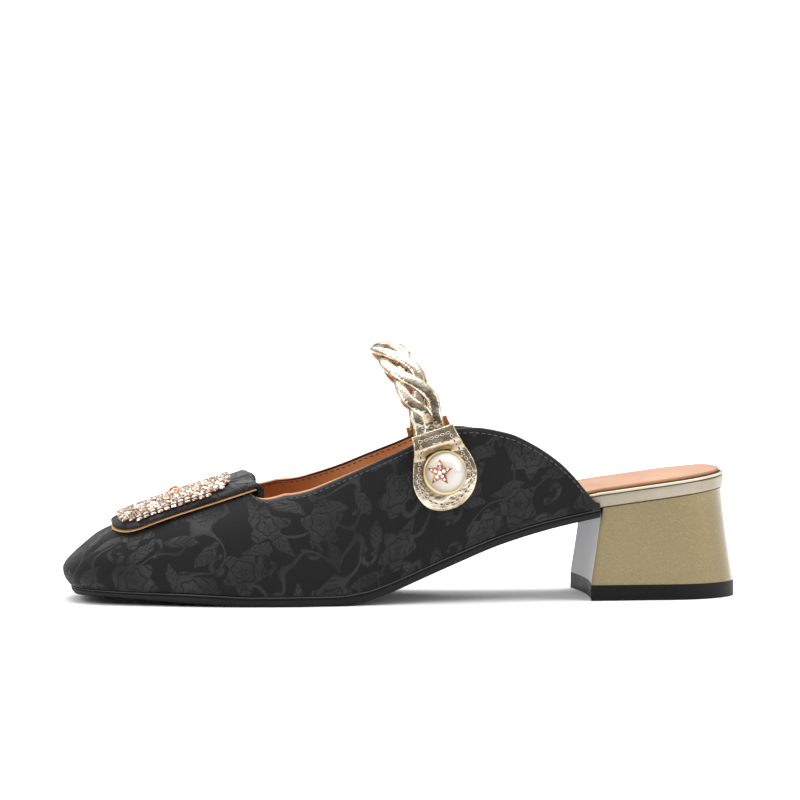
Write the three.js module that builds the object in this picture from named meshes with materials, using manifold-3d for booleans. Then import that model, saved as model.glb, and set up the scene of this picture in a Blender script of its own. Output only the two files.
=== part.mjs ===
// A backless block-heel mule: hollow jacquard upper, flap with a stone-set plate, braided instep strap.
// Millimetres, +Z up. The toe points to -X, the lateral side of this left shoe to -Y.
// The origin lies on the floor under the flat tread of the forepart.
import * as THREE from "three";
import { ParametricGeometry } from "three/addons/geometries/ParametricGeometry.js";
import { mergeGeometries, mergeVertices } from "three/addons/utils/BufferGeometryUtils.js";
import Module from "manifold-3d";

// Last and shell
const SHOE_LENGTH = 248;
const THROAT_SHARE = 0.271;
const STRAP_SHARE = 0.5388;
const BREAST_SHARE = 0.8008;
const TOE_REACH = 85;
const TOE_WIDTH = 42;
const BALL_WIDTH = 78;
const WAIST_WIDTH = 53;
const SEAT_WIDTH = 58;
const NOSE_LENGTH = 20;
const SEAT_ROUND = 29;
const TOE_HEIGHT = 25.2;
const THROAT_HEIGHT = 44.5;
const INSTEP_HEIGHT = 105;
const COLLAR_HEIGHT = 64.4;
const RIDGE_SIDE = 2.5;
const FORM_RISE = 6.5;
const UPPER_TUCK = 2.6;
const WALL = 1.8;
const GAP = 0.3;
const WING_END = 1.2;
const WING_BACK = 1;
const THROAT_FRONT = THROAT_SHARE * SHOE_LENGTH;
const THROAT_DEPTH = 14;
const VAMP_FAN = 8;

// Sole and heel
const TOE_SPRING = 3.6;
const BREAST_RISE = 31.3;
const SEAT_RISE = 38.6;
const SOLE_EDGE = 4;
const SOLE_INSET = 0.4;
const SOLE_BEVEL = 1.1;
const BREAST_PLACE = BREAST_SHARE * SHOE_LENGTH;
const BREAST_LEAN = 4.2;
const BREAST_HOLLOW = 2.2;
const HEEL_KICK = 4.9;
const HEEL_OVERHANG = 0.6;
const HEEL_FOOT = 1.02;
const LIFT_HEIGHT = 6.2;
const BOARD_FRONT = 1.8;
const BOARD_SEAT = 5.6;
const SOCK_THICK = 1.3;
const SOCK_CROWN = 1.1;
const SOCK_INSET = 2.2;

// Flap and its plate
const FLAP_LENGTH = 50.2;
const FLAP_WIDTH = 43;
const FLAP_SIDE = -1.3;
const FLAP_THICK = 2.6;
const FLAP_FLATTEN = 0.86;
const FOLD_FLATTEN = 0.95;
const FLAP_HOOK = 3.5;
const FOLD_RADIUS = 0.6;
const FLAP_TIP = 0.4;
const FLAP_BACK = 1;
const PLATE_LENGTH = 41;
const PLATE_WIDTH = 39;
const PLATE_THICK = 1.7;
const PLATE_MARGIN = 2.4;
const RING_RADIUS = 2;
const RING_WIRE = 0.45;

// Strap, tabs and ornament
const STRAP_RISE = 28.5;
const STRAP_PLACE = STRAP_SHARE * SHOE_LENGTH;
const STRAP_SKEW = 4.4;
const STRAP_LEAN = 15;
const STRAP_TUCK = 3.5;
const STRAP_WIDTH = 13.4;
const STRAP_END_WIDTH = 11.4;
const STRAND_WIDTH = 5.8;
const STRAND_THICK = 2.4;
const BRAID_LIFT = 1.2;
const BRAID_TURNS = 2.78;
const BRAID_START = 0.47;
const TAB_FORE = 0.8;
const TAB_PLACE = STRAP_PLACE + TAB_FORE;
const TAB_BOW = 1.2;
const TAB_TOP_SLOPE = 0.11;
const TAB_TOP_WIDTH = 15.8;
const TAB_WIDTH = 24.4;
const TAB_LENGTH = 29.9;
const TAB_THICK = 1.3;
const TAB_TILT = 12;
const TAB_STAND = -0.4;
const TAB_CLEAR = 2;
const TAB_STEP = 4;
const PEARL_RADIUS = 7.4;
const PEARL_DEPTH = 6.4;
const SEAT_RING_MARGIN = 0.9;
const SEAT_RING_THICK = 1.2;
const STAR_RADIUS = 5;
const STAR_THICK = 1.1;
const STAR_TURN = 28;
const PEARL_DOWN = 16;

// Shape powers: how square the last's plan, nose, seat and sections are
const NOSE_POWER = 3.2;
const SEAT_POWER = 2.3;
const SIDE_POWER = 2.6;
const TOP_POWER = 2.4;
const THROAT_POWER = 4;
const FLAP_POWER = 2.6;
const PLATE_POWER = 5;
const TAB_POWER = 2.2;
const KICK_POWER = 1.3;
const LEAN_POWER = 1.5;

// Spacing of lines round a nose or seat, and where a rounded end is cut flat (radians short of its tip)
const NOSE_SHARE = 0.22;
const SEAT_SHARE = 0.8;
const HEEL_SHARE = 0.35;
const TIP_CUT = 0.12;

// at: share of the shoe's length from the toe. lateral, medial: shares of the row's own width.
const OUTLINE = [
  { at: 0.0, width: TOE_WIDTH, lateral: 0.45, medial: 0.57 },
  { at: 0.06, width: TOE_WIDTH, lateral: 0.6, medial: 0.69 },
  { at: 0.14, width: BALL_WIDTH, lateral: 0.405, medial: 0.43 },
  { at: 0.24, width: BALL_WIDTH, lateral: 0.478, medial: 0.474 },
  { at: 0.34, width: BALL_WIDTH, lateral: 0.505, medial: 0.465 },
  { at: 0.44, width: BALL_WIDTH, lateral: 0.474, medial: 0.4 },
  { at: 0.54, width: WAIST_WIDTH, lateral: 0.61, medial: 0.49 },
  { at: 0.64, width: WAIST_WIDTH, lateral: 0.555, medial: 0.455 },
  { at: 0.74, width: WAIST_WIDTH, lateral: 0.535, medial: 0.485 },
  { at: 0.82, width: SEAT_WIDTH, lateral: 0.505, medial: 0.49 },
  { at: 0.88, width: SEAT_WIDTH, lateral: 0.5, medial: 0.5 },
  { at: 1.0, width: SEAT_WIDTH, lateral: 0.5, medial: 0.5 },
];

// rise: height of the tread as a share of the row's own rise.
const TREAD = [
  { at: 0.0, of: TOE_SPRING, rise: 1 },
  { at: 0.06, of: TOE_SPRING, rise: 0.86 },
  { at: 0.14, of: TOE_SPRING, rise: 0.53 },
  { at: 0.22, of: TOE_SPRING, rise: 0.2 },
  { at: 0.28, of: TOE_SPRING, rise: 0 },
  { at: 0.4, of: BREAST_RISE, rise: 0 },
  { at: 0.44, of: BREAST_RISE, rise: 0.042 },
  { at: 0.475, of: BREAST_RISE, rise: 0.125 },
  { at: 0.51, of: BREAST_RISE, rise: 0.233 },
  { at: 0.58, of: BREAST_RISE, rise: 0.463 },
  { at: 0.65, of: BREAST_RISE, rise: 0.684 },
  { at: 0.72, of: BREAST_RISE, rise: 0.85 },
  { at: 0.8, of: BREAST_RISE, rise: 1 },
];

// sole: share of the sole's edge. board: share of the way from the front board to the seat board.
// tuck: share of the upper's tuck. form: share of the height of the widest line above the bed.
const LAYERS = [
  { at: 0.0, sole: 0.5, board: 0, tuck: 1, form: 0.8 },
  { at: 0.08, sole: 0.58, board: 0, tuck: 0.7, form: 0.85 },
  { at: 0.2, sole: 0.92, board: 0, tuck: 0.45, form: 1 },
  { at: 0.42, sole: 1, board: 0, tuck: 0.45, form: 1.1 },
  { at: 0.55, sole: 1, board: 0.1, tuck: 0.5, form: 1.3 },
  { at: 0.7, sole: 0.9, board: 0.75, tuck: 0.3, form: 1.3 },
  { at: 0.8, sole: 0.795, board: 1, tuck: 0.1, form: 1.1 },
  { at: 1.0, sole: 0.62, board: 1, tuck: 0, form: 1 },
];

// height: height of the last's crest above the floor as a share of the row's own height.
const CREST = [
  { at: 0.0, of: TOE_HEIGHT, height: 0.66 },
  { at: 0.03, of: TOE_HEIGHT, height: 0.845 },
  { at: 0.056, of: TOE_HEIGHT, height: 1.0 },
  { at: 0.1, of: THROAT_HEIGHT, height: 0.663 },
  { at: 0.14, of: THROAT_HEIGHT, height: 0.748 },
  { at: 0.218, of: THROAT_HEIGHT, height: 0.89 },
  { at: 0.276, of: THROAT_HEIGHT, height: 1.0 },
  { at: 0.337, of: THROAT_HEIGHT, height: 1.11 },
  { at: 0.383, of: INSTEP_HEIGHT, height: 0.54 },
  { at: 0.47, of: INSTEP_HEIGHT, height: 0.74 },
  { at: 0.585, of: INSTEP_HEIGHT, height: 1.0 },
  { at: 0.69, of: INSTEP_HEIGHT, height: 1.16 },
  { at: 0.8, of: INSTEP_HEIGHT, height: 1.25 },
];

// lateral, medial: height of the collar's edge as a share of the collar height, throat to wing end.
const COLLAR = [
  { at: 0.3, lateral: 0.622, medial: 0.655 },
  { at: 0.332, lateral: 0.624, medial: 0.656 },
  { at: 0.355, lateral: 0.641, medial: 0.662 },
  { at: 0.394, lateral: 0.699, medial: 0.7 },
  { at: 0.431, lateral: 0.761, medial: 0.748 },
  { at: 0.47, lateral: 0.828, medial: 0.809 },
  { at: 0.508, lateral: 0.892, medial: 0.867 },
  { at: 0.545, lateral: 0.957, medial: 0.926 },
  { at: 0.58, lateral: 0.997, medial: 0.963 },
  { at: 0.605, lateral: 1.0, medial: 0.966 },
  { at: 0.658, lateral: 0.966, medial: 0.932 },
  { at: 0.694, lateral: 0.904, medial: 0.873 },
  { at: 0.733, lateral: 0.804, medial: 0.778 },
  { at: 0.754, lateral: 0.727, medial: 0.704 },
  { at: 0.775, lateral: 0.629, medial: 0.611 },
  { at: 0.79, lateral: 0.562, medial: 0.547 },
];

// A smooth curve through a table's rows that never swings past a row.
function along(rows, at, value) {
  const points = rows.map((row) => ({ x: row.at, y: value(row) }));
  const last = points.length - 1;
  const slopes = points.slice(1).map((p, i) => (p.y - points[i].y) / (p.x - points[i].x));
  const tangent = (i) => {
    if (i === 0) return slopes[0];
    if (i === last) return slopes[last - 1];
    const [before, after] = [slopes[i - 1], slopes[i]];
    return before * after <= 0 ? 0 : (2 * before * after) / (before + after);
  };
  const x = Math.min(Math.max(at, points[0].x), points[last].x);
  let k = 0;
  while (k < last - 1 && x > points[k + 1].x) k += 1;
  const span = points[k + 1].x - points[k].x;
  const t = (x - points[k].x) / span;
  const [a, b] = [points[k].y, points[k + 1].y];
  const [ma, mb] = [tangent(k) * span, tangent(k + 1) * span];
  const [t2, t3] = [t * t, t * t * t];
  return (2 * t3 - 3 * t2 + 1) * a + (t3 - 2 * t2 + t) * ma + (3 * t2 - 2 * t3) * b + (t3 - t2) * mb;
}

const mix = (a, b, t) => a + (b - a) * t;
const clamp01 = (t) => Math.min(Math.max(t, 0), 1);
const smooth = (t) => clamp01(t) * clamp01(t) * (3 - 2 * clamp01(t));

const TOE_X = -TOE_REACH;
const BACK_X = SHOE_LENGTH - TOE_REACH;
const SKIN_BACK_X = BACK_X + WALL + 2 * GAP;
const NOSE_X = TOE_X + NOSE_LENGTH;
const ROUND_X = SKIN_BACK_X - SEAT_ROUND;
const BREAST_X = TOE_X + BREAST_PLACE;
const THROAT_X = TOE_X + THROAT_FRONT;
const share = (x) => (x - TOE_X) / SHOE_LENGTH;
const WING_X = BREAST_X - GAP - WING_BACK;

const soleThick = (x) => SOLE_EDGE * along(LAYERS, share(x), (row) => row.sole);
const boardThick = (x) => mix(BOARD_FRONT, BOARD_SEAT, along(LAYERS, share(x), (row) => row.board));
const tuckAt = (x) => UPPER_TUCK * along(LAYERS, share(x), (row) => row.tuck);

// Height of the underside of the sole, and of its top, which the upper and the board rest on.
function tread(x) {
  const front = along(TREAD, share(x), (row) => row.of * row.rise);
  const seatSlope = (SEAT_RISE - BREAST_RISE) / (BACK_X - BREAST_X);
  return x > BREAST_X ? BREAST_RISE + seatSlope * (x - BREAST_X) : Math.min(front, BREAST_RISE);
}
const bed = (x) => tread(x) + soleThick(x);

// Half width of the outline at x, for an outline drawn in by inset. side is -1 lateral, 1 medial.
const ownHalf = (side) => (row) => row.width * (side < 0 ? row.lateral : row.medial);
function halfWidth(side, x, inset) {
  const nose = clamp01((NOSE_X - x) / (NOSE_LENGTH - inset));
  const back = clamp01((x - ROUND_X) / (SEAT_ROUND - inset));
  const noseRound = Math.pow(1 - Math.pow(nose, NOSE_POWER), 1 / NOSE_POWER);
  const backRound = Math.pow(1 - Math.pow(back, SEAT_POWER), 1 / SEAT_POWER);
  return (along(OUTLINE, share(x), ownHalf(side)) - inset) * noseRound * backRound;
}

// Place along the outline: u runs 0 to 1 from the rounded nose to the end, close-set where it rounds.
function outlineX(u, inset, endX) {
  const backShare = endX > ROUND_X ? SEAT_SHARE : 1;
  if (u < NOSE_SHARE) {
    const angle = mix(TIP_CUT, Math.PI / 2, u / NOSE_SHARE);
    return NOSE_X - (NOSE_LENGTH - inset) * Math.pow(Math.cos(angle), 2 / NOSE_POWER);
  }
  if (u <= backShare) {
    return mix(NOSE_X, Math.min(endX, ROUND_X), (u - NOSE_SHARE) / (backShare - NOSE_SHARE));
  }
  const angle = mix(0, Math.PI / 2 - TIP_CUT, (u - backShare) / (1 - backShare));
  return ROUND_X + (SEAT_ROUND - inset) * Math.pow(Math.sin(angle), 2 / SEAT_POWER);
}

// The last's skin, drawn in by inset: widest line, crest, and the surface between them.
const crest = (x) => along(CREST, share(x), (row) => row.of * row.height);
const sideWidth = (side, x, inset) => along(OUTLINE, share(x), ownHalf(side)) - inset - side * RIDGE_SIDE;
const collarZ = (side, x) => {
  const edge = COLLAR_HEIGHT * along(COLLAR, share(x), (row) => (side < 0 ? row.lateral : row.medial));
  return Math.max(edge, bed(x) + GAP + WING_END);
};
function formZ(x) {
  const foot = bed(x) + GAP;
  const rise = FORM_RISE * along(LAYERS, share(x), (row) => row.form);
  return x > THROAT_X ? foot + Math.min(rise, 0.4 * (collarZ(1, x) - foot)) : foot + rise;
}
function skinTop(x, y, inset) {
  const side = y < RIDGE_SIDE ? -1 : 1;
  const across = Math.abs(y - RIDGE_SIDE) / sideWidth(side, x, inset);
  const nose = clamp01((NOSE_X - x) / (NOSE_LENGTH - inset));
  const reach = Math.pow(Math.pow(across, NOSE_POWER) + Math.pow(nose, NOSE_POWER), 1 / NOSE_POWER);
  const d = nose > 0 ? reach : across;
  const body = Math.pow(1 - Math.pow(clamp01(d), SIDE_POWER), 1 / TOP_POWER);
  return formZ(x) + (crest(x) - inset - formZ(x)) * body;
}
function skinSide(side, x, z, inset) {
  const lift = clamp01((z - formZ(x)) / (crest(x) - inset - formZ(x)));
  const body = Math.pow(1 - Math.pow(lift, TOP_POWER), 1 / SIDE_POWER);
  return RIDGE_SIDE + side * sideWidth(side, x, inset) * body;
}

// Solids are closed from patches of a map of three shares: u along, v across, w from under to over.
function solidFrom(patches) {
  const parts = patches.map(([map, slices, stacks]) => {
    const patch = new ParametricGeometry((a, b, target) => target.copy(map(a, b)), slices, stacks);
    patch.deleteAttribute("normal");
    patch.deleteAttribute("uv");
    return patch;
  });
  return dropSlivers(mergeVertices(mergeGeometries(parts), 1e-3));
}
function dropSlivers(geometry) {
  const index = geometry.index.array;
  const kept = [];
  for (let i = 0; i < index.length; i += 3) {
    const [a, b, c] = [index[i], index[i + 1], index[i + 2]];
    if (a !== b && b !== c && c !== a) kept.push(a, b, c);
  }
  geometry.setIndex(kept);
  return geometry;
}
function block(map, nu, nv, nw) {
  return solidFrom([
    [(u, v) => map(u, v, 1), nu, nv],
    [(v, u) => map(u, v, 0), nv, nu],
    [(u, w) => map(u, 0, w), nu, nw],
    [(w, u) => map(u, 1, w), nw, nu],
    [(w, v) => map(0, v, w), nw, nv],
    [(v, w) => map(1, v, w), nv, nw],
  ]);
}

const wasm = await Module();
wasm.setup();
function toManifold(geometry) {
  const bare = geometry.clone();
  bare.deleteAttribute("normal");
  bare.deleteAttribute("uv");
  const merged = dropSlivers(mergeVertices(bare, 1e-4));
  const triVerts = new Uint32Array(merged.index.array);
  const vertProperties = new Float32Array(merged.attributes.position.array);
  return new wasm.Manifold(new wasm.Mesh({ numProp: 3, vertProperties, triVerts }));
}
function fromManifold(solid) {
  const mesh = solid.getMesh();
  const geometry = new THREE.BufferGeometry();
  geometry.setAttribute("position", new THREE.BufferAttribute(mesh.vertProperties, 3));
  geometry.setIndex(new THREE.BufferAttribute(mesh.triVerts, 1));
  return geometry;
}

// Outsole: flat at the ball, sprung at the toe, bevelled under its edge, ended along the heel's breast.
function outsole() {
  const lean = (BREAST_LEAN * soleThick(BREAST_X)) / (bed(BREAST_X) - LIFT_HEIGHT);
  const end = BREAST_X - 2 * GAP - lean;
  const map = (u, v, w) => {
    const inset = SOLE_INSET + tuckAt(outlineX(u, 0, end)) + (w === 0 ? SOLE_BEVEL : 0);
    const x = outlineX(u, inset, end);
    const y = mix(-halfWidth(-1, x, inset), halfWidth(1, x, inset), v);
    const hollow = (BREAST_HOLLOW - GAP) * 4 * v * (1 - v) * smooth((u - 0.9) * 10);
    const z = [tread(x), tread(x) + SOLE_BEVEL, bed(x)][Math.round(2 * w)];
    return new THREE.Vector3(x + hollow, y, z);
  };
  return block(map, 34, 4, 2);
}

// Insole board inside the upper, thick and full at the seat.
const boardInset = (x) => WALL + 2 * GAP + tuckAt(x);
function insoleBoard() {
  const map = (u, v, w) => {
    const inset = boardInset(outlineX(u, 0, BACK_X));
    const x = outlineX(u, inset, BACK_X);
    const y = mix(-halfWidth(-1, x, inset), halfWidth(1, x, inset), v);
    return new THREE.Vector3(x, y, bed(x) + GAP + w * boardThick(x));
  };
  return block(map, 40, 1, 1);
}

function insoleSock() {
  const map = (u, v, w) => {
    const inset = boardInset(outlineX(u, 0, BACK_X)) + SOCK_INSET;
    const x = outlineX(u, inset, BACK_X);
    const y = mix(-halfWidth(-1, x, inset), halfWidth(1, x, inset), v);
    const crown = SOCK_CROWN * 4 * v * (1 - v) * w * smooth(u * 10) * smooth((1 - u) * 10);
    const under = bed(x) + boardThick(x) + 2 * GAP;
    return new THREE.Vector3(x, y, under + w * SOCK_THICK + crown);
  };
  return block(map, 36, 4, 1);
}

// Upper: lines run from the feather edge up to the crest on the vamp, and to the throat and collar behind.
const LINES = 34;
const VAMP_LINES = 15;
const THROAT_LINES = 6;
const ROWS = 9;
const TUCK_ROWS = 2;
function footPoint(side, line, inset) {
  const throatStart = THROAT_X - VAMP_FAN;
  const throatEnd = THROAT_X + THROAT_DEPTH;
  if (line <= VAMP_LINES) {
    const noseLines = 7;
    if (line <= noseLines) {
      const angle = ((line / noseLines) * Math.PI) / 2;
      const x = NOSE_X - (NOSE_LENGTH - inset) * Math.pow(Math.cos(angle), 2 / NOSE_POWER);
      const y = RIDGE_SIDE + side * sideWidth(side, x, inset) * Math.pow(Math.sin(angle), 2 / NOSE_POWER);
      return { x, y };
    }
    const x = mix(NOSE_X, throatStart, (line - noseLines) / (VAMP_LINES - noseLines));
    return { x, y: RIDGE_SIDE + side * sideWidth(side, x, inset) };
  }
  const throatLine = line - VAMP_LINES;
  if (throatLine <= THROAT_LINES) {
    const x = mix(throatStart, throatEnd, throatLine / THROAT_LINES);
    return { x, y: RIDGE_SIDE + side * sideWidth(side, x, inset) };
  }
  const x = mix(throatEnd, WING_X, (throatLine - THROAT_LINES) / (LINES - VAMP_LINES - THROAT_LINES));
  return { x, y: RIDGE_SIDE + side * sideWidth(side, x, inset) };
}
function edgePoint(side, line, inset) {
  if (line <= VAMP_LINES) {
    return { x: mix(NOSE_X, THROAT_X, line / VAMP_LINES), y: RIDGE_SIDE };
  }
  const throatLine = line - VAMP_LINES;
  const endX = THROAT_X + THROAT_DEPTH;
  const endY = skinSide(side, endX, collarZ(side, endX), inset) - RIDGE_SIDE;
  const angle = (Math.min(throatLine / THROAT_LINES, 1) * Math.PI) / 2;
  const x = THROAT_X + THROAT_DEPTH * (1 - Math.pow(Math.cos(angle), 2 / THROAT_POWER));
  return { x, y: RIDGE_SIDE + endY * Math.pow(Math.sin(angle), 2 / THROAT_POWER) };
}
function upperPoint(side, line, row, inset) {
  const foot = footPoint(side, line, inset);
  const base = bed(foot.x) + GAP;
  if (row <= TUCK_ROWS) {
    const t = row / TUCK_ROWS;
    const near = footPoint(side, Math.max(line - 0.5, 0), inset);
    const far = footPoint(side, Math.min(line + 0.5, LINES), inset);
    const across = line === 0 ? { x: 1, y: 0 } : { x: side * (near.y - far.y), y: side * (far.x - near.x) };
    const length = Math.hypot(across.x, across.y);
    const pull = (tuckAt(foot.x) * (1 - t) * (1 - t)) / length;
    const inward = line === 0 ? 1 : -1;
    const [x, y] = [foot.x + inward * across.x * pull, foot.y + inward * across.y * pull];
    return new THREE.Vector3(x, y, mix(bed(x) + GAP, formZ(foot.x), t));
  }
  const t = (row - TUCK_ROWS) / (ROWS - TUCK_ROWS);
  if (line > VAMP_LINES + THROAT_LINES) {
    const top = collarZ(side, foot.x);
    const lift = clamp01((top - formZ(foot.x)) / (crest(foot.x) - inset - formZ(foot.x)));
    const angle = Math.asin(Math.pow(lift, TOP_POWER / 2)) * t;
    const z = mix(formZ(foot.x), crest(foot.x) - inset, Math.pow(Math.sin(angle), 2 / TOP_POWER));
    return new THREE.Vector3(foot.x, skinSide(side, foot.x, z, inset), z);
  }
  const edge = edgePoint(side, line, inset);
  const edgeAcross = Math.abs(edge.y - RIDGE_SIDE) / sideWidth(side, edge.x, inset);
  const endAngle = Math.acos(Math.pow(edgeAcross, SIDE_POWER / 2));
  const reach = (1 - Math.pow(Math.cos(endAngle * t), 2 / SIDE_POWER)) / (1 - edgeAcross);
  const x = mix(foot.x, edge.x, reach);
  const y = mix(foot.y, edge.y, reach);
  return new THREE.Vector3(x, y, Math.max(skinTop(x, y, inset), formZ(foot.x)));
}
function upper() {
  const skin = (inset) => (u, v) => {
    const line = Math.round(Math.abs(u * 2 - 1) * LINES);
    return upperPoint(u < 0.5 ? -1 : 1, line, Math.round(v * ROWS), inset);
  };
  const outer = skin(0);
  const inner = skin(WALL);
  const closed = (VAMP_LINES / LINES) * 0.5;
  const wall = (u, v, w) => mixPoint(outer(u, v), inner(u, v), w);
  const openLines = LINES - VAMP_LINES;
  return solidFrom([
    [(v, u) => outer(u, v), ROWS, 2 * LINES],
    [inner, 2 * LINES, ROWS],
    [(u, w) => wall(u, 0, w), 2 * LINES, 1],
    [(w, u) => wall(mix(0, 0.5 - closed, u), 1, w), 1, openLines],
    [(w, u) => wall(mix(0.5 + closed, 1, u), 1, w), 1, openLines],
    [(w, v) => wall(0, v, w), 1, ROWS],
    [(v, w) => wall(1, v, w), ROWS, 1],
  ]);
}
const mixPoint = (a, b, t) => new THREE.Vector3().lerpVectors(a, b, t);

// Heel block and top lift share one plan: x and y at a height share h, 0 at the lift, 1 at the seat.
function heelPlan(u, v, h) {
  const round = clamp01((u - HEEL_SHARE) / (1 - HEEL_SHARE)) * (Math.PI / 2 - TIP_CUT);
  const frontX = mix(BREAST_X - BREAST_LEAN, BREAST_X, h);
  const inset = WALL + 2 * GAP + HEEL_OVERHANG;
  const seatBack = SKIN_BACK_X - inset;
  const backX = seatBack + HEEL_KICK * Math.pow(1 - h, KICK_POWER);
  const straight = (ROUND_X - BREAST_X) / (seatBack - BREAST_X);
  const curved = mix(straight, 1, Math.pow(Math.sin(round), 2 / SEAT_POWER));
  const run = u < HEEL_SHARE ? (u / HEEL_SHARE) * straight : curved;
  const topX = mix(BREAST_X, seatBack, run);
  const scale = mix(HEEL_FOOT, 1, h);
  const y = mix(-halfWidth(-1, topX, inset), halfWidth(1, topX, inset), v) * scale;
  const hollow = BREAST_HOLLOW * 4 * v * (1 - v) * (1 - run);
  return { x: mix(frontX, backX, run) + hollow, y };
}
function heelBlock() {
  const map = (u, v, w) => {
    const { x, y } = heelPlan(u, v, w);
    const top = bed(x);
    return new THREE.Vector3(x, y, mix(LIFT_HEIGHT, top, w));
  };
  return block(map, 14, 6, 4);
}
function topLift() {
  const map = (u, v, w) => {
    const { x, y } = heelPlan(u, v, 0);
    return new THREE.Vector3(x, y, w * (LIFT_HEIGHT - GAP));
  };
  return block(map, 14, 6, 1);
}

// Flap: a padded sheet over the vamp that turns down behind the throat edge.
const throatEdgeX = (y) => {
  const endX = THROAT_X + THROAT_DEPTH;
  const side = y < RIDGE_SIDE ? -1 : 1;
  const half = Math.abs(skinSide(side, endX, collarZ(side, endX), WALL) - RIDGE_SIDE);
  const across = clamp01(Math.abs(y - RIDGE_SIDE) / half);
  return THROAT_X + THROAT_DEPTH * (1 - Math.pow(1 - Math.pow(across, THROAT_POWER), 1 / THROAT_POWER));
};
const flapUnder = (x, y) => {
  const flatten = mix(FLAP_FLATTEN, FOLD_FLATTEN, smooth(1 - (THROAT_X - x) / FLAP_LENGTH));
  return skinTop(x, RIDGE_SIDE + (y - RIDGE_SIDE) * flatten, 0) + GAP;
};
const flapTop = (x, y) => flapUnder(x, y) + FLAP_THICK;
function roundedHalf(fromFront, length, half, power) {
  const nearEnd = clamp01(1 - fromFront / length);
  return half * Math.pow(1 - Math.pow(nearEnd, power), 1 / power);
}
function flap() {
  const flat = 0.7;
  const fold = 0.9;
  const frontX = THROAT_X - FLAP_LENGTH + FLAP_BACK;
  const map = (u, v, w) => {
    const run = Math.min(u / flat, 1);
    const fromFront = mix(FLAP_TIP, FLAP_LENGTH, run * run * 0.35 + run * 0.65);
    const half = roundedHalf(fromFront, FLAP_LENGTH * 0.25, FLAP_WIDTH / 2, FLAP_POWER);
    const y = FLAP_SIDE + mix(-half, half, v);
    const edge = throatEdgeX(y);
    const x = mix(frontX, edge, (fromFront - FLAP_TIP) / (FLAP_LENGTH - FLAP_TIP));
    const under = flapUnder(x, y);
    if (u <= flat) return new THREE.Vector3(x, y, under + w * FLAP_THICK);
    const turn = (clamp01((u - flat) / (fold - flat)) * Math.PI) / 2;
    const radius = FOLD_RADIUS + w * FLAP_THICK;
    const drop = FLAP_HOOK * clamp01((u - fold) / (1 - fold));
    return new THREE.Vector3(
      edge + radius * Math.sin(turn),
      y,
      under - FOLD_RADIUS + radius * Math.cos(turn) - drop,
    );
  };
  return block(map, 18, 8, 1);
}

const PLATE_X = THROAT_X - FLAP_LENGTH + FLAP_BACK + PLATE_MARGIN + PLATE_LENGTH / 2;
function flapPlate() {
  const map = (u, v, w) => {
    const place = Math.sin((u - 0.5) * (Math.PI - 2 * TIP_CUT));
    const half = (PLATE_WIDTH / 2) * Math.pow(1 - Math.pow(Math.abs(place), PLATE_POWER), 1 / PLATE_POWER);
    const x = PLATE_X + (PLATE_LENGTH / 2) * place;
    const y = FLAP_SIDE + mix(-half, half, v);
    return new THREE.Vector3(x, y, flapTop(x, y) + GAP + w * PLATE_THICK);
  };
  return block(map, 10, 8, 1);
}

// The slope of the plate along the shoe at its middle.
function plateSlope() {
  const step = 2;
  const rise = flapTop(PLATE_X + step, FLAP_SIDE) - flapTop(PLATE_X - step, FLAP_SIDE);
  return Math.atan2(rise, 2 * step);
}

// Strap: an arch that leans to the toe, then runs down between the tabs and the upper's outer face.
const STRAP_LAT_X = TOE_X + STRAP_PLACE;
const STRAP_MED_X = STRAP_LAT_X + STRAP_SKEW;
const strapGap = GAP + STRAND_THICK / 2;
const STRAP_END_SHARE = 0.08;
const STRAP_STEP = 0.004;
function strapLine(t) {
  const side = t < 0.5 ? -1 : 1;
  const endX = side < 0 ? STRAP_LAT_X : STRAP_MED_X;
  const endZ = COLLAR_HEIGHT;
  if (t < STRAP_END_SHARE || t > 1 - STRAP_END_SHARE) {
    const deep = side < 0 ? 1 - t / STRAP_END_SHARE : (t - 1 + STRAP_END_SHARE) / STRAP_END_SHARE;
    const z = endZ - STRAP_TUCK * deep;
    return new THREE.Vector3(endX, skinSide(side, endX, z, 0) + side * strapGap, z);
  }
  const angle = clamp01((t - STRAP_END_SHARE) / (1 - 2 * STRAP_END_SHARE)) * Math.PI;
  const rise = Math.abs(Math.sin(angle));
  const latY = skinSide(-1, STRAP_LAT_X, endZ, 0) - strapGap;
  const medY = skinSide(1, STRAP_MED_X, endZ, 0) + strapGap;
  const swing = Math.sign(Math.cos(angle)) * Math.pow(Math.abs(Math.cos(angle)), 0.9);
  const x = mix(STRAP_MED_X, STRAP_LAT_X, 0.5 + 0.5 * swing) - STRAP_LEAN * Math.pow(rise, LEAN_POWER);
  return new THREE.Vector3(x, mix(medY, latY, 0.5 + 0.5 * swing), endZ + STRAP_RISE * rise);
}
function strapFrame(t) {
  const [before, after] = [Math.max(t - STRAP_STEP, 0), Math.min(t + STRAP_STEP, 1)];
  const heading = strapLine(after).sub(strapLine(before)).normalize();
  const wide = new THREE.Vector3(1, 0, 0).addScaledVector(heading, -heading.x).normalize();
  return { wide, out: new THREE.Vector3().crossVectors(wide, heading).normalize() };
}
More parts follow.
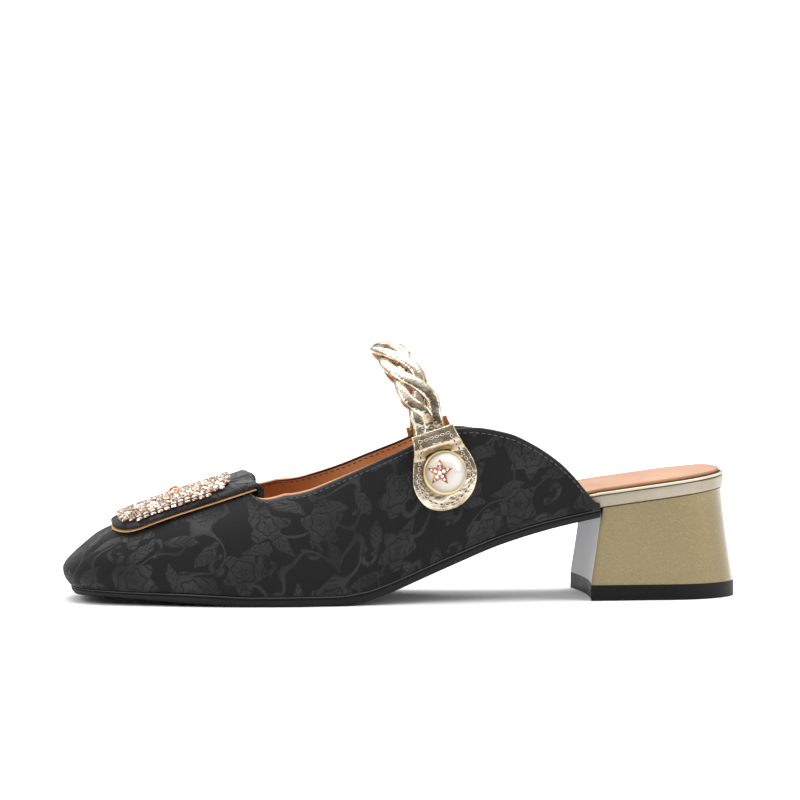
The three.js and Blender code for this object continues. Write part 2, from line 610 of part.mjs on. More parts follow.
// Each strand's place across the strap's two ends: -1 towards the toe, 1 towards the heel.
const STRANDS = [
  { lateralEnd: -1, medialEnd: 0 },
  { lateralEnd: 1, medialEnd: 1 },
  { lateralEnd: 0, medialEnd: -1 },
];
function strandCentre(k, t) {
  const { wide, out } = strapFrame(t);
  const phase = 2 * Math.PI * (BRAID_TURNS * t + k / STRANDS.length + BRAID_START);
  const open = smooth((t - 0.11) / 0.08) * smooth((0.89 - t) / 0.08);
  const swing = ((STRAP_WIDTH - STRAND_WIDTH) / 2) * Math.sin(phase);
  const end = t < 0.5 ? STRANDS[k].lateralEnd : STRANDS[k].medialEnd;
  const side = ((STRAP_END_WIDTH - STRAND_WIDTH) / 2) * end;
  return strapLine(t)
    .addScaledVector(wide, mix(side, swing, open))
    .addScaledVector(out, -BRAID_LIFT * Math.cos(phase) * open);
}
function strand(k) {
  const place = (a, t) => {
    const centre = strandCentre(k, t);
    const [before, after] = [Math.max(t - STRAP_STEP, 0), Math.min(t + STRAP_STEP, 1)];
    const heading = strandCentre(k, after).sub(strandCentre(k, before)).normalize();
    const { out } = strapFrame(t);
    const wide = new THREE.Vector3().crossVectors(heading, out).normalize();
    const thick = new THREE.Vector3().crossVectors(wide, heading).normalize();
    const angle = a * 2 * Math.PI;
    return centre
      .addScaledVector(wide, (STRAND_WIDTH / 2) * Math.cos(angle))
      .addScaledVector(thick, (STRAND_THICK / 2) * Math.sin(angle));
  };
  const [sides, steps] = [8, 36];
  const cap = (t, a, r) => mixPoint(strandCentre(k, t), place(a, t), r);
  return solidFrom([
    [(t, a) => place(a, t), steps, sides],
    [(r, a) => cap(0, a, r), 1, sides],
    [(a, r) => cap(1, a, r), sides, 1],
  ]);
}
function braidedStrap() {
  const strands = STRANDS.map((_, k) => toManifold(strand(k)));
  return fromManifold(strands[0].add(strands[1]).add(strands[2]));
}

// Tab: a drop-shaped piece on the upper's outer face, raised at its top over the strap's end.
const tabTilt = THREE.MathUtils.degToRad(TAB_TILT);
function tabPlace(side, down, across) {
  const topX = side < 0 ? TOE_X + TAB_PLACE : TOE_X + TAB_PLACE + STRAP_SKEW;
  const lower = clamp01(down / TAB_LENGTH);
  const bow = TAB_BOW * Math.sin(Math.PI * lower);
  const x = topX + bow + down * Math.sin(tabTilt) + across * Math.cos(tabTilt);
  const lift = across * (Math.sin(tabTilt) + TAB_TOP_SLOPE * (1 - lower));
  const z = COLLAR_HEIGHT + TAB_STAND - down * Math.cos(tabTilt) + lift;
  return { x, z };
}
function tabFace(side, down, across, thick) {
  const { x, z } = tabPlace(side, down, across);
  const strapEnd = STRAP_TUCK + TAB_STAND + TAB_CLEAR;
  const over = (STRAND_THICK + 2 * GAP) * smooth((strapEnd + TAB_STEP - down) / TAB_STEP);
  return new THREE.Vector3(x, skinSide(side, x, z, 0) + side * (GAP + over + thick), z);
}
function tab(side) {
  const map = (u, v, w) => {
    const lower = Math.sin(u * (Math.PI / 2 - TIP_CUT));
    const belly = mix(TAB_TOP_WIDTH, TAB_WIDTH, smooth(lower / 0.62)) / 2;
    const close = Math.pow(1 - Math.pow(clamp01((lower - 0.55) / 0.45), TAB_POWER), 1 / TAB_POWER);
    const across = mix(1, -1, v) * belly * close;
    return tabFace(side, TAB_LENGTH * lower, across, (side < 0 ? 1 - w : w) * TAB_THICK);
  };
  return block(map, 14, 6, 1);
}

// Pearl with its seat ring and star, set square to the tab's face.
function ornamentFrame() {
  const at = tabFace(-1, PEARL_DOWN, 0, TAB_THICK + GAP);
  const step = 3;
  const alongTab = tabFace(-1, PEARL_DOWN + step, 0, 0).sub(tabFace(-1, PEARL_DOWN - step, 0, 0));
  const acrossTab = tabFace(-1, PEARL_DOWN, step, 0).sub(tabFace(-1, PEARL_DOWN, -step, 0));
  const out = new THREE.Vector3().crossVectors(alongTab, acrossTab).normalize();
  if (out.y > 0) out.negate();
  const radius = PEARL_RADIUS + SEAT_RING_MARGIN;
  const turns = 12;
  const around = Array.from({ length: turns }, (_, i) => (2 * i * Math.PI) / turns);
  const proud = around.map((angle) => {
    const face = tabFace(-1, PEARL_DOWN + radius * Math.cos(angle), radius * Math.sin(angle), TAB_THICK);
    return face.sub(at).dot(out) + 2 * GAP;
  });
  return { at: at.addScaledVector(out, Math.max(0, ...proud)), out };
}
function ringSeat() {
  const radius = PEARL_RADIUS + SEAT_RING_MARGIN;
  const profile = [
    new THREE.Vector2(0, 0),
    new THREE.Vector2(radius, 0),
    new THREE.Vector2(radius, SEAT_RING_THICK * 0.6),
    new THREE.Vector2(radius - 0.4, SEAT_RING_THICK),
    new THREE.Vector2(0, SEAT_RING_THICK),
  ];
  return new THREE.LatheGeometry(profile, 24);
}
function pearlDome(grow) {
  const steps = 7;
  const profile = [new THREE.Vector2(0, 0)];
  for (let i = 0; i <= steps; i += 1) {
    const angle = ((i / steps) * Math.PI) / 2;
    const radius = i === steps ? 0 : (PEARL_RADIUS + grow) * Math.cos(angle);
    profile.push(new THREE.Vector2(radius, (PEARL_DEPTH + grow) * Math.sin(angle)));
  }
  return new THREE.LatheGeometry(profile, 20);
}
function starShape() {
  const points = 5;
  const shape = new THREE.Shape();
  for (let i = 0; i < 2 * points; i += 1) {
    const radius = i % 2 === 0 ? STAR_RADIUS : STAR_RADIUS * 0.46;
    const angle = (i * Math.PI) / points + Math.PI / 2;
    const [x, y] = [radius * Math.cos(angle), radius * Math.sin(angle)];
    if (i === 0) shape.moveTo(x, y);
    else shape.lineTo(x, y);
  }
  shape.closePath();
  return shape;
}
function starOnPearl() {
  const deep = 3;
  const star = new THREE.ExtrudeGeometry(starShape(), { depth: STAR_THICK + deep, bevelEnabled: false });
  star.rotateX(-Math.PI / 2);
  star.translate(0, PEARL_DEPTH + GAP - deep, 0);
  star.rotateZ(THREE.MathUtils.degToRad(STAR_TURN));
  return fromManifold(toManifold(star).subtract(toManifold(pearlDome(GAP))));
}

const COLOURS = {
  jacquard: { color: 0x262626, roughness: 0.75, metalness: 0 },
  lining: { color: 0xc98a5a, roughness: 0.6, metalness: 0 },
  foil: { color: 0xd9c9a8, roughness: 0.3, metalness: 0.6 },
  rim: { color: 0xcfc5b4, roughness: 0.4, metalness: 0.4 },
  heel: { color: 0xa09468, roughness: 0.35, metalness: 0.5 },
  rubber: { color: 0x161616, roughness: 0.7, metalness: 0 },
  stones: { color: 0xc9a98c, roughness: 0.3, metalness: 0.7 },
  pearl: { color: 0xe8e2d8, roughness: 0.2, metalness: 0 },
  roseGold: { color: 0xc9906a, roughness: 0.25, metalness: 0.9 },
};

const shoe = new THREE.Group();
function add(name, geometry, finish) {
  const mesh = new THREE.Mesh(geometry, new THREE.MeshStandardMaterial(COLOURS[finish]));
  mesh.name = name;
  shoe.add(mesh);
  return mesh;
}

add("outsole", outsole(), "rubber");
add("insole_board", insoleBoard(), "rim");
add("insole_sock", insoleSock(), "lining");
add("upper", upper(), "jacquard");
add("heel_block", heelBlock(), "heel");
add("top_lift", topLift(), "rubber");
add("flap", flap(), "jacquard");
add("flap_plate", flapPlate(), "stones");
add("braided_strap", braidedStrap(), "foil");
add("tab_lateral", tab(-1), "foil");
add("tab_medial", tab(1), "foil");

const ring = add("flap_ring", new THREE.TorusGeometry(RING_RADIUS, RING_WIRE, 8, 20), "roseGold");
const ringUnder = flapTop(PLATE_X, FLAP_SIDE) + PLATE_THICK + GAP;
ring.position.set(PLATE_X, FLAP_SIDE, ringUnder + GAP + RING_WIRE);
ring.rotation.y = -plateSlope();

const ornament = new THREE.Group();
const { at: ornamentAt, out: ornamentOut } = ornamentFrame();
ornament.position.copy(ornamentAt);
const ornamentX = new THREE.Vector3(1, 0, 0).addScaledVector(ornamentOut, -ornamentOut.x).normalize();
const ornamentZ = new THREE.Vector3().crossVectors(ornamentX, ornamentOut);
ornament.quaternion.setFromRotationMatrix(new THREE.Matrix4().makeBasis(ornamentX, ornamentOut, ornamentZ));
shoe.add(ornament);
ornament.add(add("pearl_seat", ringSeat(), "lining"));
const pearl = add("pearl", pearlDome(0), "pearl");
pearl.position.y = SEAT_RING_THICK + GAP;
ornament.add(pearl);
pearl.add(add("star", starOnPearl(), "roseGold"));

export default shoe;
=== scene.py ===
"""A backless block-heel mule, dressed on its frame: jacquard upper, stone-set flap, braided strap.

The last is worked out in millimetres and turned to metres where vertices are placed. The toe points to -X,
the lateral side of this left shoe to -Y, and the floor is Z = 0.
"""

import bisect
import math
import random
from collections import namedtuple

import bmesh
import bpy
from mathutils import Matrix, Vector


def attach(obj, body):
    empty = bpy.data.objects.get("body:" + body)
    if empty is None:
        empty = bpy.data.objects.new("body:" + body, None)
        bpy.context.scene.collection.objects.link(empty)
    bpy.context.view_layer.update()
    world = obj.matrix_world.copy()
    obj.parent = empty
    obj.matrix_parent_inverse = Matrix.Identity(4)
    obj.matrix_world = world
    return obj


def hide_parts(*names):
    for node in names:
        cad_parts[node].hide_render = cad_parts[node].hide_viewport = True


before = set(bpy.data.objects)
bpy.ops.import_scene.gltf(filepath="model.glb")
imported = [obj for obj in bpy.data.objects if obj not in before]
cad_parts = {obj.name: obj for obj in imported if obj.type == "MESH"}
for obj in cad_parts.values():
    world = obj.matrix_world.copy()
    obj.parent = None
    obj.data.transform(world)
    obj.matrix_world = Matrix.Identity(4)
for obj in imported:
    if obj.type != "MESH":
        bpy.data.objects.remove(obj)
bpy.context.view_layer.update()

bl_info = {
    "name": "Block-heel mule",
    "version": (1, 0, 0),
    "blender": (4, 5, 0),
    "location": "View3D > Sidebar > Mule",
    "description": "Dresses the mule's frame with its upper, flap, strap, sole, heel and stage",
    "category": "Object",
}

MM = 0.001

# The last and the shell, in millimetres
SHOE_LENGTH = 248.0
TOE_X = -85.0
TOE_WIDTH = 42.0
BALL_WIDTH = 78.0
WAIST_WIDTH = 53.0
SEAT_WIDTH = 58.0
NOSE_LENGTH = 20.0
SEAT_ROUND = 29.0
TOE_HEIGHT = 25.2
THROAT_HEIGHT = 44.5
INSTEP_HEIGHT = 105.0
COLLAR_HEIGHT = 64.4
RIDGE_SIDE = 2.5
FORM_RISE = 6.5
UPPER_TUCK = 2.6
WALL = 1.8
GAP = 0.3
WING_END = 1.2
WING_BACK = 1.0
THROAT_DEPTH = 14.0
VAMP_FAN = 8.0

# Sole and heel
TOE_SPRING = 3.6
BREAST_RISE = 31.3
SEAT_RISE = 38.6
SOLE_EDGE = 4.0
SOLE_INSET = 0.4
BREAST_LEAN = 4.2
BREAST_HOLLOW = 2.2
HEEL_KICK = 4.9
HEEL_OVERHANG = 0.6
HEEL_FOOT = 1.02
LIFT_HEIGHT = 6.2
BOARD_FRONT = 1.8
BOARD_SEAT = 5.6
SOCK_THICK = 1.3
SOCK_CROWN = 1.1
SOCK_INSET = 2.2

# Flap, strap, tabs and ornament
FLAP_LENGTH = 50.2
FLAP_WIDTH = 43.0
FLAP_SIDE = -1.3
FLAP_THICK = 2.6
FLAP_FLATTEN = 0.86
FOLD_FLATTEN = 0.95
FLAP_HOOK = 3.5
FLAP_BACK = 1.0
FLAP_TIP = 0.4
FOLD_RADIUS = 0.6
PLATE_LENGTH = 41.0
PLATE_WIDTH = 39.0
PLATE_MARGIN = 2.4
STRAP_RISE = 28.5
STRAP_SKEW = 4.4
STRAP_LEAN = 15.0
STRAP_TUCK = 3.5
STRAP_WIDTH = 13.4
STRAP_END_WIDTH = 11.4
# Narrower than the solid's 5.8, where the strands have to join, so that the braid lies open
STRAND_WIDTH = 4.7
STRAND_THICK = 2.4
BRAID_LIFT = 1.2
BRAID_TURNS = 2.78
BRAID_START = 0.47
STRAP_END_SHARE = 0.08
TAB_FORE = 0.8
TAB_BOW = 1.2
TAB_TOP_SLOPE = 0.11
TAB_TOP_WIDTH = 15.8
TAB_WIDTH = 24.4
TAB_LENGTH = 29.9
TAB_THICK = 1.3
TAB_TILT = math.radians(12)
TAB_STAND = -0.4
TAB_CLEAR = 2.0
TAB_STEP = 4.0
PEARL_RADIUS = 7.4
PEARL_DEPTH = 6.4
PEARL_DOWN = 16.0
SEAT_RING_MARGIN = 0.9
SEAT_RING_THICK = 1.2
STAR_RADIUS = 5.0
STAR_TURN = math.radians(28)

# Shape powers, as on the solids
NOSE_POWER = 3.2
SEAT_POWER = 2.3
SIDE_POWER = 2.6
TOP_POWER = 2.4
THROAT_POWER = 4.0
FLAP_POWER = 2.6
PLATE_POWER = 5.0
TAB_POWER = 2.2
KICK_POWER = 1.3
LEAN_POWER = 1.5
NOSE_SHARE = 0.22
SEAT_SHARE = 0.8
HEEL_SHARE = 0.35
TIP_CUT = 0.03

BACK_X = SHOE_LENGTH + TOE_X
SKIN_BACK_X = BACK_X + WALL + 2 * GAP
NOSE_X = TOE_X + NOSE_LENGTH
ROUND_X = SKIN_BACK_X - SEAT_ROUND
BREAST_X = TOE_X + 0.8008 * SHOE_LENGTH
THROAT_X = TOE_X + 0.271 * SHOE_LENGTH
STRAP_X = TOE_X + 0.5388 * SHOE_LENGTH
WING_X = BREAST_X - GAP - WING_BACK

Width = namedtuple("Width", "at width lateral medial")
OUTLINE = [
    Width(0.00, TOE_WIDTH, 0.45, 0.57),
    Width(0.06, TOE_WIDTH, 0.60, 0.69),
    Width(0.14, BALL_WIDTH, 0.405, 0.43),
    Width(0.24, BALL_WIDTH, 0.478, 0.474),
    Width(0.34, BALL_WIDTH, 0.505, 0.465),
    Width(0.44, BALL_WIDTH, 0.474, 0.40),
    Width(0.54, WAIST_WIDTH, 0.61, 0.49),
    Width(0.64, WAIST_WIDTH, 0.555, 0.455),
    Width(0.74, WAIST_WIDTH, 0.535, 0.485),
    Width(0.82, SEAT_WIDTH, 0.505, 0.49),
    Width(0.88, SEAT_WIDTH, 0.50, 0.50),
    Width(1.00, SEAT_WIDTH, 0.50, 0.50),
]

Rise = namedtuple("Rise", "at of share")
TREAD = [
    Rise(0.00, TOE_SPRING, 1.0),
    Rise(0.06, TOE_SPRING, 0.86),
    Rise(0.14, TOE_SPRING, 0.53),
    Rise(0.22, TOE_SPRING, 0.2),
    Rise(0.28, TOE_SPRING, 0.0),
    Rise(0.40, BREAST_RISE, 0.0),
    Rise(0.44, BREAST_RISE, 0.042),
    Rise(0.475, BREAST_RISE, 0.125),
    Rise(0.51, BREAST_RISE, 0.233),
    Rise(0.58, BREAST_RISE, 0.463),
    Rise(0.65, BREAST_RISE, 0.684),
    Rise(0.72, BREAST_RISE, 0.85),
    Rise(0.80, BREAST_RISE, 1.0),
]
CREST = [
    Rise(0.00, TOE_HEIGHT, 0.66),
    Rise(0.03, TOE_HEIGHT, 0.845),
    Rise(0.056, TOE_HEIGHT, 1.0),
    Rise(0.10, THROAT_HEIGHT, 0.663),
    Rise(0.14, THROAT_HEIGHT, 0.748),
    Rise(0.218, THROAT_HEIGHT, 0.89),
    Rise(0.276, THROAT_HEIGHT, 1.0),
    Rise(0.337, THROAT_HEIGHT, 1.11),
    Rise(0.383, INSTEP_HEIGHT, 0.54),
    Rise(0.47, INSTEP_HEIGHT, 0.74),
    Rise(0.585, INSTEP_HEIGHT, 1.0),
    Rise(0.69, INSTEP_HEIGHT, 1.16),
    Rise(0.80, INSTEP_HEIGHT, 1.25),
]
Edge = namedtuple("Edge", "at lateral medial")
COLLAR = [
    Edge(0.3, 0.622, 0.655),
    Edge(0.332, 0.624, 0.656),
    Edge(0.355, 0.641, 0.662),
    Edge(0.394, 0.699, 0.7),
    Edge(0.431, 0.761, 0.748),
    Edge(0.47, 0.828, 0.809),
    Edge(0.508, 0.892, 0.867),
    Edge(0.545, 0.957, 0.926),
    Edge(0.58, 0.997, 0.963),
    Edge(0.605, 1.0, 0.966),
    Edge(0.658, 0.966, 0.932),
    Edge(0.694, 0.904, 0.873),
    Edge(0.733, 0.804, 0.778),
    Edge(0.754, 0.727, 0.704),
    Edge(0.775, 0.629, 0.611),
    Edge(0.79, 0.562, 0.547),
]

Layer = namedtuple("Layer", "at sole board tuck form")
LAYERS = [
    Layer(0.00, 0.5, 0.0, 1.0, 0.8),
    Layer(0.08, 0.58, 0.0, 0.7, 0.85),
    Layer(0.20, 0.92, 0.0, 0.45, 1.0),
    Layer(0.42, 1.0, 0.0, 0.45, 1.1),
    Layer(0.55, 1.0, 0.1, 0.5, 1.3),
    Layer(0.70, 0.9, 0.75, 0.3, 1.3),
    Layer(0.80, 0.795, 1.0, 0.1, 1.1),
    Layer(1.00, 0.62, 1.0, 0.0, 1.0),
]


class Curve:
    """A smooth curve through (at, value) points that never swings past a point."""

    def __init__(self, points):
        self.at, self.value = zip(*points)
        pairs = list(zip(points, points[1:]))
        slopes = [(b[1] - a[1]) / (b[0] - a[0]) for a, b in pairs]
        inner = [0.0 if a * b <= 0 else 2 * a * b / (a + b) for a, b in zip(slopes, slopes[1:])]
        self.slope = [slopes[0], *inner, slopes[-1]]

    def __call__(self, at):
        at = min(max(at, self.at[0]), self.at[-1])
        k = min(max(bisect.bisect_right(self.at, at) - 1, 0), len(self.at) - 2)
        span = self.at[k + 1] - self.at[k]
        t = (at - self.at[k]) / span
        start = (2 * t**3 - 3 * t**2 + 1) * self.value[k] + (t**3 - 2 * t**2 + t) * self.slope[k] * span
        end = (3 * t**2 - 2 * t**3) * self.value[k + 1] + (t**3 - t**2) * self.slope[k + 1] * span
        return start + end


HALF = {
    -1: Curve([(row.at, row.width * row.lateral) for row in OUTLINE]),
    1: Curve([(row.at, row.width * row.medial) for row in OUTLINE]),
}
TREAD_RISE = Curve([(row.at, row.of * row.share) for row in TREAD])
CREST_RISE = Curve([(row.at, row.of * row.share) for row in CREST])
COLLAR_RISE = {
    -1: Curve([(row.at, row.lateral) for row in COLLAR]),
    1: Curve([(row.at, row.medial) for row in COLLAR]),
}
SOLE_SHARE = Curve([(row.at, row.sole) for row in LAYERS])
BOARD_SHARE = Curve([(row.at, row.board) for row in LAYERS])
TUCK_SHARE = Curve([(row.at, row.tuck) for row in LAYERS])
FORM_SHARE = Curve([(row.at, row.form) for row in LAYERS])


def mix(a, b, t):
    return a + (b - a) * t


def clamp01(t):
    return min(max(t, 0.0), 1.0)


def smooth(t):
    t = clamp01(t)
    return t * t * (3 - 2 * t)


def share(x):
    return (x - TOE_X) / SHOE_LENGTH


def sole_thick(x):
    return SOLE_EDGE * SOLE_SHARE(share(x))


def board_thick(x):
    return mix(BOARD_FRONT, BOARD_SEAT, BOARD_SHARE(share(x)))


def tuck_at(x):
    return UPPER_TUCK * TUCK_SHARE(share(x))


def tread(x):
    """Height of the sole's underside, and behind the breast of the seat's underside."""
    if x > BREAST_X:
        return BREAST_RISE + (SEAT_RISE - BREAST_RISE) * (x - BREAST_X) / (BACK_X - BREAST_X)
    return min(TREAD_RISE(share(x)), BREAST_RISE)


def bed(x):
    return tread(x) + sole_thick(x)


def power(base, exponent):
    return math.pow(max(base, 0.0), exponent)


def half_width(side, x, inset):
    """Half width of the outline drawn in by inset. side is -1 lateral, 1 medial."""
    nose = clamp01((NOSE_X - x) / (NOSE_LENGTH - inset))
    back = clamp01((x - ROUND_X) / (SEAT_ROUND - inset))
    nose_round = power(1 - power(nose, NOSE_POWER), 1 / NOSE_POWER)
    back_round = power(1 - power(back, SEAT_POWER), 1 / SEAT_POWER)
    return (HALF[side](share(x)) - inset) * nose_round * back_round


def across_at(x, inset, v):
    """A place across the outline at x, v running from the lateral edge to the medial one."""
    return mix(-half_width(-1, x, inset), half_width(1, x, inset), v)


def outline_x(u, inset, end_x):
    """Place along the outline, close-set where the nose and the seat are round."""
    back_share = SEAT_SHARE if end_x > ROUND_X else 1.0
    if u < NOSE_SHARE:
        angle = mix(TIP_CUT, math.pi / 2, u / NOSE_SHARE)
        return NOSE_X - (NOSE_LENGTH - inset) * power(math.cos(angle), 2 / NOSE_POWER)
    if u <= back_share:
        return mix(NOSE_X, min(end_x, ROUND_X), (u - NOSE_SHARE) / (back_share - NOSE_SHARE))
    angle = mix(0, math.pi / 2 - TIP_CUT, (u - back_share) / (1 - back_share))
    return ROUND_X + (SEAT_ROUND - inset) * power(math.sin(angle), 2 / SEAT_POWER)


def crest(x):
    return CREST_RISE(share(x))


def side_width(side, x, inset):
    return HALF[side](share(x)) - inset - side * RIDGE_SIDE


def collar_z(side, x):
    return max(COLLAR_HEIGHT * COLLAR_RISE[side](share(x)), bed(x) + GAP + WING_END)


def form_z(x):
    """Height of the widest line of the last."""
    foot = bed(x) + GAP
    rise = FORM_RISE * FORM_SHARE(share(x))
    return foot + (min(rise, 0.4 * (collar_z(1, x) - foot)) if x > THROAT_X else rise)


def skin_top(x, y, inset):
    side = -1 if y < RIDGE_SIDE else 1
    across = abs(y - RIDGE_SIDE) / side_width(side, x, inset)
    nose = clamp01((NOSE_X - x) / (NOSE_LENGTH - inset))
    reach = across
    if nose > 0:
        reach = power(power(across, NOSE_POWER) + power(nose, NOSE_POWER), 1 / NOSE_POWER)
    body = power(1 - power(clamp01(reach), SIDE_POWER), 1 / TOP_POWER)
    return form_z(x) + (crest(x) - inset - form_z(x)) * body


def skin_side(side, x, z, inset):
    lift = clamp01((z - form_z(x)) / (crest(x) - inset - form_z(x)))
    body = power(1 - power(lift, TOP_POWER), 1 / SIDE_POWER)
    return RIDGE_SIDE + side * side_width(side, x, inset) * body


# The upper's lines run from the feather edge to the crest on the vamp, and to the collar behind it
LINES = 34
VAMP_LINES = 15
THROAT_LINES = 6
NOSE_LINES = 7
ROWS = 9
TUCK_ROWS = 2


def foot_point(side, line, inset):
    throat_start = THROAT_X - VAMP_FAN
    throat_end = THROAT_X + THROAT_DEPTH
    if line <= NOSE_LINES:
        angle = line / NOSE_LINES * math.pi / 2
        x = NOSE_X - (NOSE_LENGTH - inset) * power(math.cos(angle), 2 / NOSE_POWER)
        return x, RIDGE_SIDE + side * side_width(side, x, inset) * power(math.sin(angle), 2 / NOSE_POWER)
    if line <= VAMP_LINES:
        x = mix(NOSE_X, throat_start, (line - NOSE_LINES) / (VAMP_LINES - NOSE_LINES))
    elif line <= VAMP_LINES + THROAT_LINES:
        x = mix(throat_start, throat_end, (line - VAMP_LINES) / THROAT_LINES)
    else:
        wing_start = VAMP_LINES + THROAT_LINES
        x = mix(throat_end, WING_X, (line - wing_start) / (LINES - wing_start))
    return x, RIDGE_SIDE + side * side_width(side, x, inset)


def edge_point(side, line, inset):
    if line <= VAMP_LINES:
        return mix(NOSE_X, THROAT_X, line / VAMP_LINES), RIDGE_SIDE
    end_x = THROAT_X + THROAT_DEPTH
    end_y = skin_side(side, end_x, collar_z(side, end_x), inset) - RIDGE_SIDE
    angle = min((line - VAMP_LINES) / THROAT_LINES, 1) * math.pi / 2
    x = THROAT_X + THROAT_DEPTH * (1 - power(math.cos(angle), 2 / THROAT_POWER))
    return x, RIDGE_SIDE + end_y * power(math.sin(angle), 2 / THROAT_POWER)


def upper_point(side, line, row, inset):
    """A point of the shell: inset 0 is its outer face, WALL its inner face."""
    foot_x, foot_y = foot_point(side, line, inset)
    if row <= TUCK_ROWS:
        t = row / TUCK_ROWS
        near = foot_point(side, max(line - 0.5, 0), inset)
        far = foot_point(side, min(line + 0.5, LINES), inset)
        across = (1.0, 0.0) if line == 0 else (side * (near[1] - far[1]), side * (far[0] - near[0]))
        pull = tuck_at(foot_x) * (1 - t) ** 2 / math.hypot(*across)
        inward = 1 if line == 0 else -1
        x, y = foot_x + inward * across[0] * pull, foot_y + inward * across[1] * pull
        return Vector((x, y, mix(bed(x) + GAP, form_z(foot_x), t)))
    t = (row - TUCK_ROWS) / (ROWS - TUCK_ROWS)
    if line > VAMP_LINES + THROAT_LINES:
        height = crest(foot_x) - inset - form_z(foot_x)
        lift = clamp01((collar_z(side, foot_x) - form_z(foot_x)) / height)
        angle = math.asin(power(lift, TOP_POWER / 2)) * t
        z = form_z(foot_x) + height * power(math.sin(angle), 2 / TOP_POWER)
        return Vector((foot_x, skin_side(side, foot_x, z, inset), z))
    edge_x, edge_y = edge_point(side, line, inset)
    edge_across = abs(edge_y - RIDGE_SIDE) / side_width(side, edge_x, inset)
    end_angle = math.acos(min(power(edge_across, SIDE_POWER / 2), 1.0))
    reach = (1 - power(math.cos(end_angle * t), 2 / SIDE_POWER)) / (1 - edge_across)
    x, y = mix(foot_x, edge_x, reach), mix(foot_y, edge_y, reach)
    return Vector((x, y, max(skin_top(x, y, inset), form_z(foot_x))))


def topline(e, depth, inset):
    """A point `depth` below the shell's top edge. e runs 0 to 1 from the lateral wing to the medial one."""
    side = -1 if e < 0.5 else 1
    line = mix(VAMP_LINES, LINES, abs(2 * e - 1))
    top = upper_point(side, line, ROWS, inset)
    step = 0.25
    rate = (top - upper_point(side, line, ROWS - step, inset)).length / step
    deep = min(depth / max(rate, 0.05), 0.8 * (ROWS - TUCK_ROWS))
    return upper_point(side, line, ROWS - deep, inset)


def throat_edge_x(y):
    end_x = THROAT_X + THROAT_DEPTH
    side = -1 if y < RIDGE_SIDE else 1
    half = abs(skin_side(side, end_x, collar_z(side, end_x), WALL) - RIDGE_SIDE)
    across = clamp01(abs(y - RIDGE_SIDE) / half)
    return THROAT_X + THROAT_DEPTH * (1 - power(1 - power(across, THROAT_POWER), 1 / THROAT_POWER))


def flap_under(x, y):
    flatten = mix(FLAP_FLATTEN, FOLD_FLATTEN, smooth(1 - (THROAT_X - x) / FLAP_LENGTH))
    return skin_top(x, RIDGE_SIDE + (y - RIDGE_SIDE) * flatten, 0) + GAP


def flap_top(x, y):
    return flap_under(x, y) + FLAP_THICK


def strap_line(t):
    """Centre line of the strap: between the tabs and the shell at its ends, an arch leaning to the toe."""
    end_share = STRAP_END_SHARE
    side = -1 if t < 0.5 else 1
    end_x = STRAP_X if side < 0 else STRAP_X + STRAP_SKEW
    stand = GAP + STRAND_THICK / 2
    if t < end_share or t > 1 - end_share:
        deep = 1 - t / end_share if side < 0 else (t - 1 + end_share) / end_share
        z = COLLAR_HEIGHT - STRAP_TUCK * deep
        return Vector((end_x, skin_side(side, end_x, z, 0) + side * stand, z))
    angle = clamp01((t - end_share) / (1 - 2 * end_share)) * math.pi
    rise = abs(math.sin(angle))
    lateral_y = skin_side(-1, STRAP_X, COLLAR_HEIGHT, 0) - stand
    medial_y = skin_side(1, STRAP_X + STRAP_SKEW, COLLAR_HEIGHT, 0) + stand
    swing = 0.5 + 0.5 * math.copysign(abs(math.cos(angle)) ** 0.9, math.cos(angle))
    x = mix(STRAP_X + STRAP_SKEW, STRAP_X, swing) - STRAP_LEAN * rise**LEAN_POWER
    return Vector((x, mix(medial_y, lateral_y, swing), COLLAR_HEIGHT + STRAP_RISE * rise))


def strap_frame(t):
    """The strap's own directions at t: across its width, and out of the arch."""
    step = 0.004
    heading = (strap_line(min(t + step, 1)) - strap_line(max(t - step, 0))).normalized()
    wide = (Vector((1, 0, 0)) - heading * heading.x).normalized()
    return wide, wide.cross(heading).normalized()


# Each strand's place across the strap's lateral and medial ends: -1 towards the toe, 1 towards the heel
STRAND_ENDS = ((-1, 0), (1, 1), (0, -1))


def strand_centre(k, t):
    wide, out = strap_frame(t)
    phase = 2 * math.pi * (BRAID_TURNS * t + k / 3 + BRAID_START)
    open_ = smooth((t - 0.1) / 0.07) * smooth((0.9 - t) / 0.07)
    swing = (STRAP_WIDTH - STRAND_WIDTH) / 2 * math.sin(phase)
    side = (STRAP_END_WIDTH - STRAND_WIDTH) / 2 * STRAND_ENDS[k][t >= 0.5]
    return strap_line(t) + wide * mix(side, swing, open_) - out * BRAID_LIFT * math.cos(phase) * open_


def strand_frame(k, t):
    """Centre, width and thickness directions of one strand."""
    step = 0.004
    heading = (strand_centre(k, min(t + step, 1)) - strand_centre(k, max(t - step, 0))).normalized()
    wide = heading.cross(strap_frame(t)[1]).normalized()
    return strand_centre(k, t), wide, wide.cross(heading).normalized()


def tab_face(side, down, across, thick):
    """A point on a tab: down from its top, across it, thick out from its back."""
    top_x = STRAP_X + TAB_FORE + (STRAP_SKEW if side > 0 else 0)
    lower = clamp01(down / TAB_LENGTH)
    bow = TAB_BOW * math.sin(math.pi * lower)
    x = top_x + bow + down * math.sin(TAB_TILT) + across * math.cos(TAB_TILT)
    lift = across * (math.sin(TAB_TILT) + TAB_TOP_SLOPE * (1 - lower))
    z = COLLAR_HEIGHT + TAB_STAND - down * math.cos(TAB_TILT) + lift
    strap_end = STRAP_TUCK + TAB_STAND + TAB_CLEAR
    over = (STRAND_THICK + 2 * GAP) * smooth((strap_end + TAB_STEP - down) / TAB_STEP)
    return Vector((x, skin_side(side, x, z, 0) + side * (GAP + over + thick), z))


